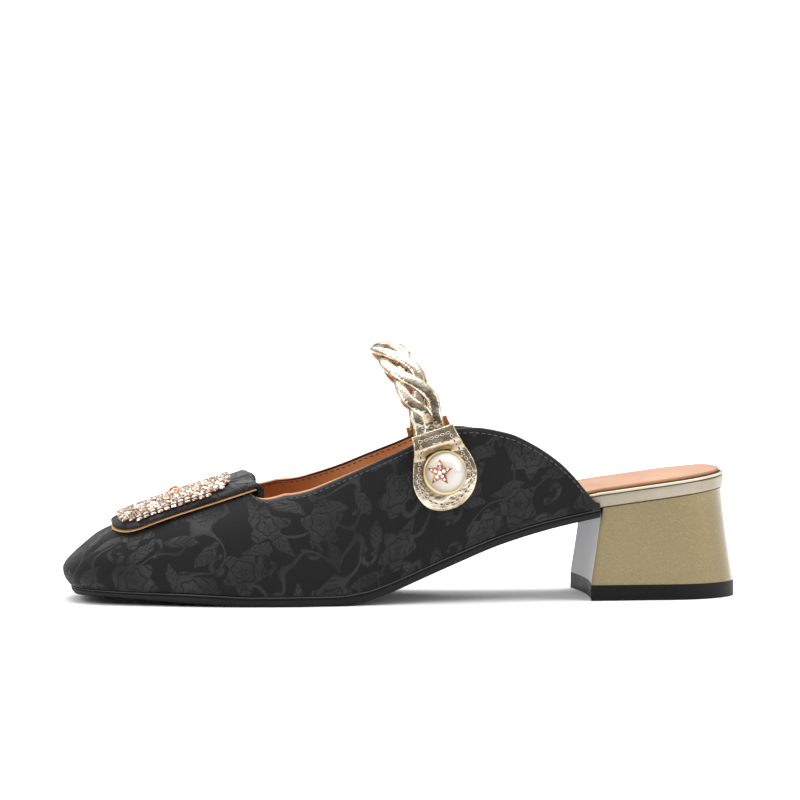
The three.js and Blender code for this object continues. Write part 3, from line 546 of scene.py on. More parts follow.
def tab_half(lower):
    """Half width of a tab at a share of its length from the top."""
    belly = mix(TAB_TOP_WIDTH, TAB_WIDTH, smooth(lower / 0.62)) / 2
    return belly * power(1 - power(clamp01((lower - 0.55) / 0.45), TAB_POWER), 1 / TAB_POWER)


def ornament_frame():
    """The pearl's place: a matrix whose Y axis points out of the tab."""
    at = tab_face(-1, PEARL_DOWN, 0, TAB_THICK + GAP)
    step = 3
    down = tab_face(-1, PEARL_DOWN + step, 0, 0) - tab_face(-1, PEARL_DOWN - step, 0, 0)
    across = tab_face(-1, PEARL_DOWN, step, 0) - tab_face(-1, PEARL_DOWN, -step, 0)
    out = down.cross(across).normalized()
    if out.y > 0:
        out.negate()
    radius = PEARL_RADIUS + SEAT_RING_MARGIN
    turns = [i * math.pi / 6 for i in range(12)]
    faces = [tab_face(-1, PEARL_DOWN + radius * math.cos(a), radius * math.sin(a), TAB_THICK) for a in turns]
    at += out * max(0.0, *[(face - at).dot(out) + 2 * GAP for face in faces])
    x_axis = (Vector((1, 0, 0)) - out * out.x).normalized()
    z_axis = x_axis.cross(out)
    turned = Matrix((x_axis, out, z_axis)).transposed().to_4x4()
    return Matrix.Translation(at) @ turned


def heel_plan(u, v, h):
    """A heel point in plan: u front to back, v across, h 0 at the lift and 1 at the seat."""
    front_x = mix(BREAST_X - BREAST_LEAN, BREAST_X, h)
    inset = WALL + 2 * GAP + HEEL_OVERHANG
    seat_back = SKIN_BACK_X - inset
    back_x = seat_back + HEEL_KICK * power(1 - h, KICK_POWER)
    straight = (ROUND_X - BREAST_X) / (seat_back - BREAST_X)
    angle = clamp01((u - HEEL_SHARE) / (1 - HEEL_SHARE)) * (math.pi / 2 - TIP_CUT)
    curved = mix(straight, 1, power(math.sin(angle), 2 / SEAT_POWER))
    run = u / HEEL_SHARE * straight if u < HEEL_SHARE else curved
    top_x = mix(BREAST_X, seat_back, run)
    y = across_at(top_x, inset, v) * mix(HEEL_FOOT, 1, h)
    return mix(front_x, back_x, run) + BREAST_HOLLOW * 4 * v * (1 - v) * (1 - run), y


# Mesh building


def even(count):
    """Shares that cut a side into `count` equal parts."""
    return [i / count for i in range(1, count)]


def eased(count):
    """Shares that lie closer together towards both ends of a side."""
    return [0.5 - 0.5 * math.cos(math.pi * s) for s in even(count)]


def rounded(near_face, corner):
    """How far a rounded corner draws the side in at a distance from the nearer face."""
    return corner - math.sqrt(max(corner**2 - max(corner - near_face, 0) ** 2, 0))


def block(us, vs, ws, place):
    """A closed block: a cube cut at shares, each vertex moved to place(u, v, w). Also the shares."""
    bm = bmesh.new()
    bmesh.ops.create_cube(bm, size=1.0, matrix=Matrix.Translation((0.5, 0.5, 0.5)))
    for axis, shares in enumerate((us, vs, ws)):
        normal = Vector((axis == 0, axis == 1, axis == 2))
        for at in shares:
            geometry = bm.verts[:] + bm.edges[:] + bm.faces[:]
            bmesh.ops.bisect_plane(bm, geom=geometry, plane_co=normal * at, plane_no=normal)
    shares = {vert: tuple(round(c, 6) for c in vert.co) for vert in bm.verts}
    for vert, (u, v, w) in shares.items():
        vert.co = Vector(place(u, v, w)) * MM
    return bm, shares


def sheet(columns, rows, place, outward=True):
    """A grid moved to place(u, v), with a UV map "Cloth" in millimetres along its surface."""
    bm = bmesh.new()
    bmesh.ops.create_grid(bm, x_segments=columns, y_segments=rows, size=0.5)
    cell = {v: (round((v.co.x + 0.5) * columns), round((v.co.y + 0.5) * rows)) for v in bm.verts}
    at = {key: Vector(place(key[0] / columns, key[1] / rows)) for key in cell.values()}
    middle = rows // 3
    along = {0: 0.0}
    for i in range(1, columns + 1):
        along[i] = along[i - 1] + (at[i, middle] - at[i - 1, middle]).length
    across = {(i, 0): 0.0 for i in range(columns + 1)}
    for i in range(columns + 1):
        for j in range(1, rows + 1):
            across[i, j] = across[i, j - 1] + (at[i, j] - at[i, j - 1]).length
    cloth = bm.loops.layers.uv.new("Cloth")
    for face in bm.faces:
        for loop in face.loops:
            key = cell[loop.vert]
            loop[cloth].uv = (along[key[0]], across[key])
    for vert, key in cell.items():
        vert.co = at[key] * MM
    if not outward:
        bmesh.ops.reverse_faces(bm, faces=bm.faces[:])
    return bm


def tube(steps, sides, place):
    """A closed tube: a sheet whose far rows meet, with its two ends filled."""
    bm = sheet(steps, sides, place)
    bmesh.ops.remove_doubles(bm, verts=bm.verts[:], dist=1e-6)
    ends = [edge for edge in bm.edges if edge.is_boundary]
    if ends:
        bmesh.ops.holes_fill(bm, edges=ends, sides=0)
    bmesh.ops.recalc_face_normals(bm, faces=bm.faces[:])
    return bm


def walk(points, pitch, start=0.0):
    """Places each `pitch` along a line of (point, normal): point, direction, normal."""
    made, left = [], start
    for (a, normal), (b, _) in zip(points, points[1:]):
        length = (b - a).length
        while left <= length and length > 0:
            made.append((a.lerp(b, left / length), (b - a).normalized(), normal))
            left += pitch
        left -= length
    return made


def beads(places, length, width, height, lift=0.0):
    """Small rounded pieces, such as stitches, one lying along each place."""
    bm = bmesh.new()
    for at, heading, normal in places:
        side = normal.cross(heading).normalized()
        turned = Matrix((heading, side, heading.cross(side))).transposed().to_4x4()
        size = Matrix.Diagonal((length / 2, width / 2, height / 2, 1))
        matrix = Matrix.Scale(MM, 4) @ Matrix.Translation(at + normal * lift) @ turned @ size
        bmesh.ops.create_uvsphere(bm, u_segments=8, v_segments=4, radius=1.0, matrix=matrix)
    bmesh.ops.recalc_face_normals(bm, faces=bm.faces[:])
    return bm


def piece(name, bm, *materials, slot=None, replaces=(), sharp=40.0):
    """Makes a finished object of a bmesh, smooth but for edges over `sharp` degrees."""
    mesh = bpy.data.meshes.new(name)
    bm.to_mesh(mesh)
    bm.free()
    for material in materials:
        mesh.materials.append(material)
    mesh.shade_smooth()
    mesh.set_sharp_from_angle(angle=math.radians(sharp))
    made = bpy.data.objects.new(name, mesh)
    bpy.context.collection.objects.link(made)
    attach(made, "root")
    if replaces:
        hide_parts(*replaces)
    return made


# Materials

# Size of a leather's loose folds and of one lacquer flake, in mm
FOLD_MM = 5
FLAKE_MM = 0.22
# Blender's diagonal bands repeat every DIAGONAL_WAVE / scale along x + y + z; the thread's twist, in m
DIAGONAL_WAVE = 0.628
TWIST = 0.0005


def linear(colour):
    """Linear RGBA of an sRGB hex colour."""
    channels = [int(colour[i : i + 2], 16) / 255 for i in (1, 3, 5)]
    return [c / 12.92 if c <= 0.04045 else ((c + 0.055) / 1.055) ** 2.4 for c in channels] + [1.0]


def node(tree, kind, inputs=None, **settings):
    """Adds a node with its settings, sets or links its inputs, and returns its outputs."""
    made = tree.nodes.new("ShaderNode" + kind)
    for name, value in settings.items():
        setattr(made, name, value)
    for name, value in (inputs or {}).items():
        if isinstance(value, bpy.types.NodeSocket):
            tree.links.new(value, made.inputs[name])
        else:
            made.inputs[name].default_value = value
    return made.outputs


def finish(name, **sockets):
    """A material of one shader. Sockets are set by name, with underscores for spaces."""
    material = bpy.data.materials.new(name)
    material.use_nodes = True
    tree = material.node_tree
    tree.nodes.clear()
    shader = tree.nodes.new("ShaderNodeBsdfPrincipled")
    for key, value in sockets.items():
        shader.inputs[key.replace("_", " ")].default_value = value
    output = tree.nodes.new("ShaderNodeOutputMaterial")
    tree.links.new(shader.outputs[0], output.inputs[0])
    return material, tree, shader.inputs


def motifs(tree, cloth, kind, cell, size, shift):
    """Woven motifs of one kind, one in each scattered cell of the cloth: their mask and their veins."""
    moved = node(tree, "VectorMath", {0: cloth, 1: shift}, operation="ADD")[0]
    cells = node(
        tree,
        "TexVoronoi",
        {"Vector": moved, "Scale": 1 / cell, "Randomness": 0.6},
        voronoi_dimensions="2D",
    )
    local = node(tree, "VectorMath", {0: moved, 1: cells["Position"]}, operation="SUBTRACT")[0]
    chance = node(tree, "SeparateColor", {0: cells["Color"]})[0]
    turn = node(tree, "Math", {0: chance, 1: 2 * math.pi}, operation="MULTIPLY")[0]
    turned = node(tree, "VectorRotate", {"Vector": local, "Angle": turn}, rotation_type="Z_AXIS")[0]
    places = node(tree, "SeparateXYZ", {0: turned})
    radius = node(tree, "VectorMath", {0: turned}, operation="LENGTH")["Value"]
    angle = node(tree, "Math", {0: places[1], 1: places[0]}, operation="ARCTAN2")[0]
    side = node(tree, "Math", {0: places[1]}, operation="ABSOLUTE")[0]
    if kind == "flower":
        petals = node(tree, "Math", {0: angle, 1: 5.0}, operation="MULTIPLY")[0]
        wave = node(tree, "Math", {0: petals}, operation="COSINE")[0]
        edge = node(tree, "Math", {0: wave, 1: 0.17 * size, 2: 0.83 * size}, operation="MULTIPLY_ADD")[0]
        inside = node(tree, "Math", {0: edge, 1: radius}, operation="SUBTRACT")[0]
        ripple = node(tree, "Math", {0: radius, 1: 2 * math.pi / 3.2, 2: wave}, operation="MULTIPLY_ADD")[0]
    elif kind == "leaf":
        reach = node(tree, "Math", {0: places[0], 1: size}, operation="DIVIDE")[0]
        square = node(tree, "Math", {0: reach, 1: reach}, operation="MULTIPLY")[0]
        half = node(tree, "Math", {0: square, 1: -0.38 * size, 2: 0.38 * size}, operation="MULTIPLY_ADD")[0]
        inside = node(tree, "Math", {0: half, 1: side}, operation="SUBTRACT")[0]
        slant = node(tree, "Math", {0: side, 1: 1.3, 2: places[0]}, operation="MULTIPLY_ADD")[0]
        ripple = node(tree, "Math", {0: slant, 1: 2 * math.pi / 2.4}, operation="MULTIPLY")[0]
    else:
        spiral = node(tree, "Math", {0: angle, 1: size / 7, 2: 0.55 * size}, operation="MULTIPLY_ADD")[0]
        apart = node(tree, "Math", {0: spiral, 1: radius}, operation="SUBTRACT")[0]
        width = node(tree, "Math", {0: apart}, operation="ABSOLUTE")[0]
        inside = node(tree, "Math", {0: 0.75, 1: width}, operation="SUBTRACT")[0]
        ripple = node(tree, "Math", {0: angle, 1: 3.0}, operation="MULTIPLY")[0]
    mask = node(tree, "MapRange", {"Value": inside, "From Min": -0.25, "From Max": 0.35})[0]
    veins = node(tree, "Math", {0: ripple}, operation="SINE")[0]
    line = node(tree, "MapRange", {"Value": veins, "From Min": 0.55, "From Max": 0.95})[0]
    return mask, node(tree, "Math", {0: line, 1: mask}, operation="MULTIPLY")[0]


def jacquard(colours):
    """Black polyester jacquard: matt twill ground, satin-faced motifs that stand out by their gloss and by a
    lighter colour, which is painted satin sheen.
    """
    material, tree, shader = finish(
        "black jacquard, satin motifs on twill",
        Specular_IOR_Level=0.2,
        Sheen_Weight=0.05,
        Sheen_Roughness=0.4,
    )
    cloth = node(tree, "UVMap", uv_map="Cloth")[0]
    bent = node(tree, "TexNoise", {"Vector": cloth, "Scale": 1 / 9, "Detail": 2.0})["Color"]
    sway = node(tree, "VectorMath", {0: bent, 1: (0.5, 0.5, 0.5)}, operation="SUBTRACT")[0]
    pull = node(tree, "VectorMath", {0: sway, "Scale": 5.0}, operation="SCALE")[0]
    drawn = node(tree, "VectorMath", {0: cloth, 1: pull}, operation="ADD")[0]
    layers = [
        motifs(tree, drawn, "flower", 27.0, 8.2, (11.0, 4.0, 0.0)),
        motifs(tree, drawn, "leaf", 15.0, 6.4, (3.0, 17.0, 0.0)),
        motifs(tree, drawn, "curl", 19.0, 4.2, (7.0, 9.0, 0.0)),
    ]
    mask, vein = layers[0]
    for other_mask, other_vein in layers[1:]:
        mask = node(tree, "Math", {0: mask, 1: other_mask}, operation="MAXIMUM")[0]
        vein = node(tree, "Math", {0: vein, 1: other_vein}, operation="MAXIMUM")[0]
    # Stems wander between the motifs along one level of a broad noise
    wander = node(tree, "TexNoise", {"Vector": cloth, "Scale": 1 / 26, "Detail": 1.0})["Fac"]
    level = node(tree, "Math", {0: wander, 1: 0.5}, operation="SUBTRACT")[0]
    apart = node(tree, "Math", {0: level}, operation="ABSOLUTE")[0]
    fades = {"Value": apart, "From Min": 0.006, "From Max": 0.014, "To Min": 1.0, "To Max": 0.0}
    stem = node(tree, "MapRange", fades)[0]
    mask = node(tree, "Math", {0: mask, 1: stem}, operation="MAXIMUM")[0]
    # Twill lines are drawn about 1.1 mm apart, coarser than the thread, so that they show in the render
    twill = node(
        tree,
        "TexWave",
        {"Vector": cloth, "Scale": 0.35 / 0.9, "Distortion": 0.6, "Detail Scale": 2.0},
        bands_direction="DIAGONAL",
    )["Fac"]
    grain = node(tree, "TexNoise", {"Vector": cloth, "Scale": 1 / 0.5, "Detail": 2.0})["Fac"]
    patchy = node(tree, "TexNoise", {"Vector": cloth, "Scale": 1 / 14, "Detail": 3.0})["Fac"]
    fade = node(tree, "MapRange", {"Value": patchy, "From Min": 0.38, "From Max": 0.62, "To Min": 0.35})[0]
    shown = node(tree, "Math", {0: mask, 1: fade}, operation="MULTIPLY")[0]
    plain = node(tree, "Math", {0: vein, 1: -0.8, 2: 1.0}, operation="MULTIPLY_ADD")[0]
    face = node(tree, "Math", {0: shown, 1: plain}, operation="MULTIPLY")[0]
    # The motifs' lighter colour is painted sheen: it stands in for the gloss of their satin face
    base = node(
        tree,
        "Mix",
        {0: face, 6: linear(colours["ground"]), 7: linear(colours["motif"])},
        data_type="RGBA",
    )[2]
    flecked = node(tree, "MapRange", {"Value": grain, "From Min": 0.3, "From Max": 0.7, "To Min": 0.72})[0]
    threads = node(tree, "Mix", {0: 1.0, 6: base, 7: flecked}, data_type="RGBA", blend_type="MULTIPLY")[2]
    tree.links.new(threads, shader["Base Color"])
    gloss = node(tree, "MapRange", {"Value": face, "To Min": 0.78, "To Max": 0.4})[0]
    tree.links.new(gloss, shader["Roughness"])
    weave = node(tree, "Math", {0: twill, 1: 0.35, 2: grain}, operation="MULTIPLY_ADD")[0]
    raised = node(tree, "Math", {0: face, 1: 2.2, 2: weave}, operation="MULTIPLY_ADD")[0]
    bump = node(tree, "Bump", {"Height": raised, "Distance": 0.00016, "Strength": 0.7})[0]
    tree.links.new(bump, shader["Normal"])
    return material


def leather(name, colour, dark, roughness, grain_mm, wrinkle=0.0, patch_mm=18, relief=0.35, **sockets):
    """Leather: a pebbled grain at its real size, mottled from `colour` to `dark`. On the foils the small dark
    patches are painted shade and painted dark reflections.
    """
    material, tree, shader = finish(name, **sockets)
    place = node(tree, "TexCoord")["Object"]
    mottle = node(tree, "TexNoise", {"Vector": place, "Scale": 1000 / patch_mm, "Detail": 4.0})["Fac"]
    spread = node(tree, "MapRange", {"Value": mottle, "From Min": 0.35, "From Max": 0.68})[0]
    # A random tone on most leathers; on the foils this mottle paints shade and dark reflections
    base = node(tree, "Mix", {0: spread, 6: linear(colour), 7: linear(dark)}, data_type="RGBA")[2]
    tree.links.new(base, shader["Base Color"])
    cells = node(tree, "TexVoronoi", {"Vector": place, "Scale": 1000 / grain_mm}, feature="SMOOTH_F1")
    pebble = cells["Distance"]
    folds = {"Vector": place, "Scale": 1000 / FOLD_MM, "Detail": 5.0, "Distortion": 1.5}
    fold = node(tree, "TexNoise", folds)["Fac"]
    height = node(tree, "Math", {0: fold, 1: wrinkle, 2: pebble}, operation="MULTIPLY_ADD")[0]
    bump = node(tree, "Bump", {"Height": height, "Distance": 0.0002, "Strength": relief})[0]
    tree.links.new(bump, shader["Normal"])
    spans = {"Value": mottle, "To Min": roughness - 0.08, "To Max": roughness + 0.1}
    rubbed = node(tree, "MapRange", spans)[0]
    tree.links.new(rubbed, shader["Roughness"])
    return material


def lacquer(name, colour, light, **sockets):
    """Pearl lacquer over a moulded block: metallic flake in a clear coat."""
    material, tree, shader = finish(name, **sockets)
    place = node(tree, "TexCoord")["Object"]
    flakes = node(tree, "TexVoronoi", {"Vector": place, "Scale": 1000 / FLAKE_MM})["Color"]
    fleck = node(tree, "SeparateColor", {0: flakes})[0]
    glint = node(tree, "MapRange", {"Value": fleck, "From Min": 0.6, "From Max": 1.0})[0]
    base = node(tree, "Mix", {0: glint, 6: linear(colour), 7: linear(light)}, data_type="RGBA")[2]
    tree.links.new(base, shader["Base Color"])
    bump = node(tree, "Bump", {"Height": fleck, "Distance": 0.00005, "Strength": 0.3})[0]
    tree.links.new(bump, shader["Normal"])
    return material


def rubber(name, colour, **sockets):
    """Moulded black rubber: near matt, with a fine sandy skin."""
    material, tree, shader = finish(name, Base_Color=linear(colour), **sockets)
    place = node(tree, "TexCoord")["Object"]
    sand = node(tree, "TexNoise", {"Vector": place, "Scale": 1000 / 0.6, "Detail": 3.0})["Fac"]
    bump = node(tree, "Bump", {"Height": sand, "Distance": 0.0001, "Strength": 0.3})[0]
    tree.links.new(bump, shader["Normal"])
    scuffs = node(tree, "TexNoise", {"Vector": place, "Scale": 1000 / 12, "Detail": 5.0})["Fac"]
    rubbed = node(tree, "MapRange", {"Value": scuffs, "To Min": 0.42, "To Max": 0.68})[0]
    tree.links.new(rubbed, shader["Roughness"])
    return material


def thread(name, colour):
    """Twisted polyester thread: soft gloss with a fine twist across it."""
    material, tree, shader = finish(name, Base_Color=linear(colour), Roughness=0.5, Sheen_Weight=0.2)
    place = node(tree, "TexCoord")["Object"]
    bands = {"Vector": place, "Scale": DIAGONAL_WAVE / TWIST}
    twist = node(tree, "TexWave", bands, bands_direction="DIAGONAL")["Fac"]
    bump = node(tree, "Bump", {"Height": twist, "Distance": 0.00008, "Strength": 0.5})[0]
    tree.links.new(bump, shader["Normal"])
    return material


def stones_with_painted_glitter(name, dark, light, roughness):
    """Faceted stones in metal cups, each taking its own tint from dark to light: a painted glitter of
    highlights and shade.
    """
    material, tree, shader = finish(
        name, Metallic=0.9, Roughness=roughness, Coat_Weight=0.6, Coat_Roughness=0.05
    )
    chance = node(tree, "NewGeometry")["Random Per Island"]
    tint = node(tree, "MapRange", {"Value": chance, "From Min": 0.1, "From Max": 0.8})[0]
    base = node(tree, "Mix", {0: tint, 6: linear(dark), 7: linear(light)}, data_type="RGBA")[2]
    tree.links.new(base, shader["Base Color"])
    return material


def plated(name, colour, roughness):
    """Plated brass: polished, with faint brushing left from the buff."""
    material, tree, shader = finish(name, Base_Color=linear(colour), Metallic=1.0)
    place = node(tree, "TexCoord")["Object"]
    buff = node(tree, "TexNoise", {"Vector": place, "Scale": 1000 / 1.5, "Detail": 4.0})["Fac"]
    rubbed = node(tree, "MapRange", {"Value": buff, "To Min": roughness - 0.06, "To Max": roughness + 0.1})[0]
    tree.links.new(rubbed, shader["Roughness"])
    return material


def nacre(name, colour, edge_shade, axis):
    """Imitation pearl: a milky body under clear layers, darker and warmer where it turns away from its own
    axis, which is painted shade.
    """
    material, tree, shader = finish(
        name,
        Roughness=0.22,
        Coat_Weight=0.8,
        Coat_Roughness=0.06,
        Subsurface_Weight=0.15,
        Subsurface_Scale=0.002,
    )
    normal = node(tree, "TexCoord")["Normal"]
    along = node(tree, "VectorMath", {0: normal, 1: axis}, operation="DOT_PRODUCT")["Value"]
    eased_along = node(tree, "Math", {0: along, 1: 0.7}, operation="POWER")[0]
    rim = node(tree, "Math", {0: 1.0, 1: eased_along}, operation="SUBTRACT")[0]
    # Painted shade: the pearl darkens to brown towards its edge
    base = node(tree, "Mix", {0: rim, 6: linear(colour), 7: linear(edge_shade)}, data_type="RGBA")[2]
    tree.links.new(base, shader["Base Color"])
    return material


# What a user would change


class MuleUpperSettings(bpy.types.PropertyGroup):
    """Sizes and colours of the upper and the flap."""

    binding: bpy.props.FloatProperty(
        name="Binding height", description="Height of the topline fold, in mm", default=1.1, min=0.5, max=5.0
    )
    stitch: bpy.props.FloatProperty(
        name="Stitch pitch", description="From one stitch to the next, in mm", default=2.3, min=1.0, max=5.0
    )
    ground: bpy.props.StringProperty(name="Ground", description="Hex colour of the twill", default="#131313")
    # The motif colour, lighter than the ground, is painted satin sheen
    motif: bpy.props.StringProperty(name="Motif", description="Hex colour of the motifs", default="#2a2a2a")
    lining: bpy.props.StringProperty(name="Lining", description="Hex colour of the lining", default="#cd9361")


class MuleTrimSettings(bpy.types.PropertyGroup):
    """Sizes and colours of the plate, the strap, the tabs and the pearl."""

    stone: bpy.props.FloatProperty(
        name="Stone pitch", description="From one stone to the next, in mm", default=1.9, min=1.0, max=4.0
    )
    strand_sides: bpy.props.IntProperty(
        name="Strand sides", description="Faces round one strand", default=24, min=8, max=48
    )
    foil: bpy.props.StringProperty(name="Foil", description="Hex colour of the foil", default="#d6ccba")
    backing: bpy.props.StringProperty(name="Backing", description="Hex colour of its back", default="#b9743c")


class MuleSoleSettings(bpy.types.PropertyGroup):
    """Sizes and colours of the insole, the sole and the heel."""

    piping: bpy.props.FloatProperty(
        name="Piping", description="Height of the edge over the rim, in mm", default=1.0, min=0.5, max=3.0
    )
    rib: bpy.props.FloatProperty(
        name="Rib pitch", description="From one rib of the sole to the next, in mm", default=1.25, min=0.6
    )
    heel: bpy.props.StringProperty(name="Heel", description="Hex colour of the lacquer", default="#7f704b")
    sock: bpy.props.StringProperty(name="Sock", description="Hex colour of the sock", default="#a37552")


class MuleStageSettings(bpy.types.PropertyGroup):
    """The floor and its light."""

    floor: bpy.props.StringProperty(name="Floor", description="Hex colour of the floor", default="#f6f6f6")
    light: bpy.props.FloatProperty(name="Light", description="Strength of the lamps", default=1.0, min=0.0)


# Creases of the worn-in vamp, each a line from one point to another in mm; depth below zero presses in
Crease = namedtuple("Crease", "start end depth width")
CREASES = (
    Crease((-82.5, -16, 19.0), (-70, -13, 26.5), 0.55, 1.5),
    Crease((-81, -18, 16.0), (-68, -17, 24.0), -0.5, 1.3),
    Crease((-83, -2, 17.5), (-70, -4, 26.5), 0.35, 2.5),
    Crease((-80, 20, 15.0), (-67, 19, 24.5), -0.45, 1.5),
    Crease((-8, -38, 30), (4, -40, 14), -0.35, 3.0),
    Crease((6, -37, 34), (15, -38, 16), -0.25, 3.5),
    Crease((-10, 36, 30), (3, 37, 15), -0.35, 3.0),
    Crease((70, -31, 58), (86, -31, 47), -0.25, 3.5),
    Crease((30, -35, 24), (62, -30, 36), -0.22, 4.0),
)


def crease(bm):
    """Presses the creases into the cloth."""
    bm.normal_update()
    moves = []
    for vert in bm.verts:
        push = 0.0
        for line in CREASES:
            start, run = Vector(line.start), Vector(line.end) - Vector(line.start)
            along = (vert.co / MM - start).dot(run) / run.length_squared
            apart = (vert.co / MM - start - run * clamp01(along)).length / line.width
            fade = smooth(1 - abs(2 * clamp01(along) - 1)) * 0.7 + 0.3
            push += line.depth * fade * math.exp(-apart * apart)
        moves.append((vert, vert.normal * push * MM))
    for vert, move in moves:
        vert.co += move


class MULE_OT_upper(bpy.types.Operator):
    """Makes the jacquard shell, its lining, its bound topline and their stitches"""

    bl_idname = "mule.upper"
    bl_label = "Upper"

    def execute(self, context):
        sizes = context.scene.mule_upper
        cloth = jacquard({"ground": sizes.ground, "motif": sizes.motif})
        tan = leather("tan calf lining", sizes.lining, "#b87040", 0.5, 0.8, Specular_IOR_Level=0.35)

        def shell(inset, first_row):
            def place(u, v):
                row = mix(first_row, ROWS, v)
                return upper_point(-1 if u < 0.5 else 1, abs(u * 2 - 1) * LINES, row, inset)

            return place

        bm = sheet(8 * LINES, 6 * ROWS, shell(0.0, 0.0), outward=False)
        bmesh.ops.remove_doubles(bm, verts=bm.verts[:], dist=1e-6)
        crease(bm)
        outer = piece("upper_cloth", bm, cloth, slot="jacquard", replaces=("upper",))
        bm = sheet(8 * LINES, 6 * ROWS, shell(WALL, 0.3))
        bmesh.ops.remove_doubles(bm, verts=bm.verts[:], dist=1e-6)
        inner = piece("upper_lining", bm, tan, slot="sock")
        for made in (outer, inner):
            wall = made.modifiers.new("Wall", "SOLIDIFY")
            wall.thickness = 0.85 * MM
            wall.offset = -1.0
            wall.use_even_offset = True

        def binding(e, a):
            low_out, top_out = (topline(e, depth, -0.1) for depth in (sizes.binding, 0))
            low_in, top_in = (topline(e, depth, WALL + 0.1) for depth in (sizes.binding * 0.5, 0))
            middle = (top_out + top_in) / 2
            up = (top_out - low_out).normalized() * 0.35
            turn = clamp01((a - 0.3) / 0.3) * math.pi
            if a < 0.3:
                return low_out.lerp(top_out, a / 0.3)
            if a <= 0.6:
                return middle + (top_out - middle) * math.cos(turn) + up * math.sin(turn)
            if a < 0.9:
                return top_in.lerp(low_in, (a - 0.6) / 0.3)
            return low_in.lerp(low_out, (a - 0.9) / 0.1)

        band = leather("black folded edge", "#101011", "#161617", 0.5, 0.7, Specular_IOR_Level=0.3)
        piece("topline_binding", tube(260, 20, binding), band, slot="jacquard", sharp=60)
        depth = sizes.binding + 0.5
        for name, shade, inset, colour, length in (
            ("topline_stitches", "grey", 0.02, "#3c3c40", 1.9),
            ("lining_stitches", "brown", WALL + 0.05, "#3d2010", 1.5),
        ):
            rows = []
            for i in range(401):
                e = mix(0.02, 0.98, i / 400)
                deeper = inset - 1 if inset > 1 else inset + 1
                near, deep = topline(e, depth, inset), topline(e, depth, deeper)
                rows.append((near, (near - deep).normalized()))
            stitches = beads(walk(rows, sizes.stitch), length, 0.4, 0.3)
            piece(name, stitches, thread(shade + " polyester thread", colour), slot="jacquard")
        return {"FINISHED"}


class MULE_OT_flap(bpy.types.Operator):
    """Makes the flap that turns over the throat, with its cut leather edge"""

    bl_idname = "mule.flap"
    bl_label = "Flap"

    def execute(self, context):
        sizes = context.scene.mule_upper
        flat, fold, corner = 0.7, 0.9, 1.0
        front_x = THROAT_X - FLAP_LENGTH + FLAP_BACK

        def cover(low, high, spread):
            def place(u, v, w):
                run = min(u / flat, 1)
                near_face = min(w, 1 - w) * (high - low)
                drawn = rounded(near_face, corner) - spread
                reach = FLAP_TIP + drawn if drawn > -spread else FLAP_TIP - spread
                from_front = mix(reach, FLAP_LENGTH, run * run * 0.35 + run * 0.65)
                near_end = clamp01(1 - (from_front - reach + FLAP_TIP) / (FLAP_LENGTH * 0.25))
                half = (FLAP_WIDTH / 2 - drawn) * power(1 - power(near_end, FLAP_POWER), 1 / FLAP_POWER)
                y = FLAP_SIDE + mix(-half, half, v)
                edge = throat_edge_x(y)
                x = mix(front_x, edge, (from_front - FLAP_TIP) / (FLAP_LENGTH - FLAP_TIP))
                under = flap_under(x, y)
                at = mix(low, high, w)
                crown = 0.5 * (1 - (2 * v - 1) ** 4) * smooth(run * 6) * w * (high > 1)
                if u <= flat:
                    return Vector((x, y, under + at + crown))
                turn = clamp01((u - flat) / (fold - flat)) * math.pi / 2
                radius = FOLD_RADIUS + at + crown
                drop = FLAP_HOOK * clamp01((u - fold) / (1 - fold))
                height = under - FOLD_RADIUS + radius * math.cos(turn) - drop
                return Vector((edge + radius * math.sin(turn), y, height))

            return place

        across = eased(26)
        through = [0.04, 0.1, 0.2, 0.35, 0.5, 0.65, 0.8, 0.9, 0.96]
        cloth = bpy.data.materials["black jacquard, satin motifs on twill"]
        bm, shares = block(even(56), across, through, cover(0.62, FLAP_THICK, 0.0))
        uv = bm.loops.layers.uv.new("Cloth")
        for face in bm.faces:
            for loop in face.loops:
                u, v, w = shares[loop.vert]
                loop[uv].uv = (u * 62 + 7, v * FLAP_WIDTH + w * FLAP_THICK)
        piece("flap_cover", bm, cloth, slot="jacquard", replaces=("flap",), sharp=70)
        tan = leather("cut tan leather", "#d9a468", "#b98450", 0.6, 0.6, Specular_IOR_Level=0.3)
        under = cover(-0.1, 0.42, 0.3)
        bm, _ = block(even(40), across, [0.5], lambda u, v, w: under(u * flat, v, w))
        piece("flap_backing", bm, tan, slot="sock", sharp=70)
        return {"FINISHED"}


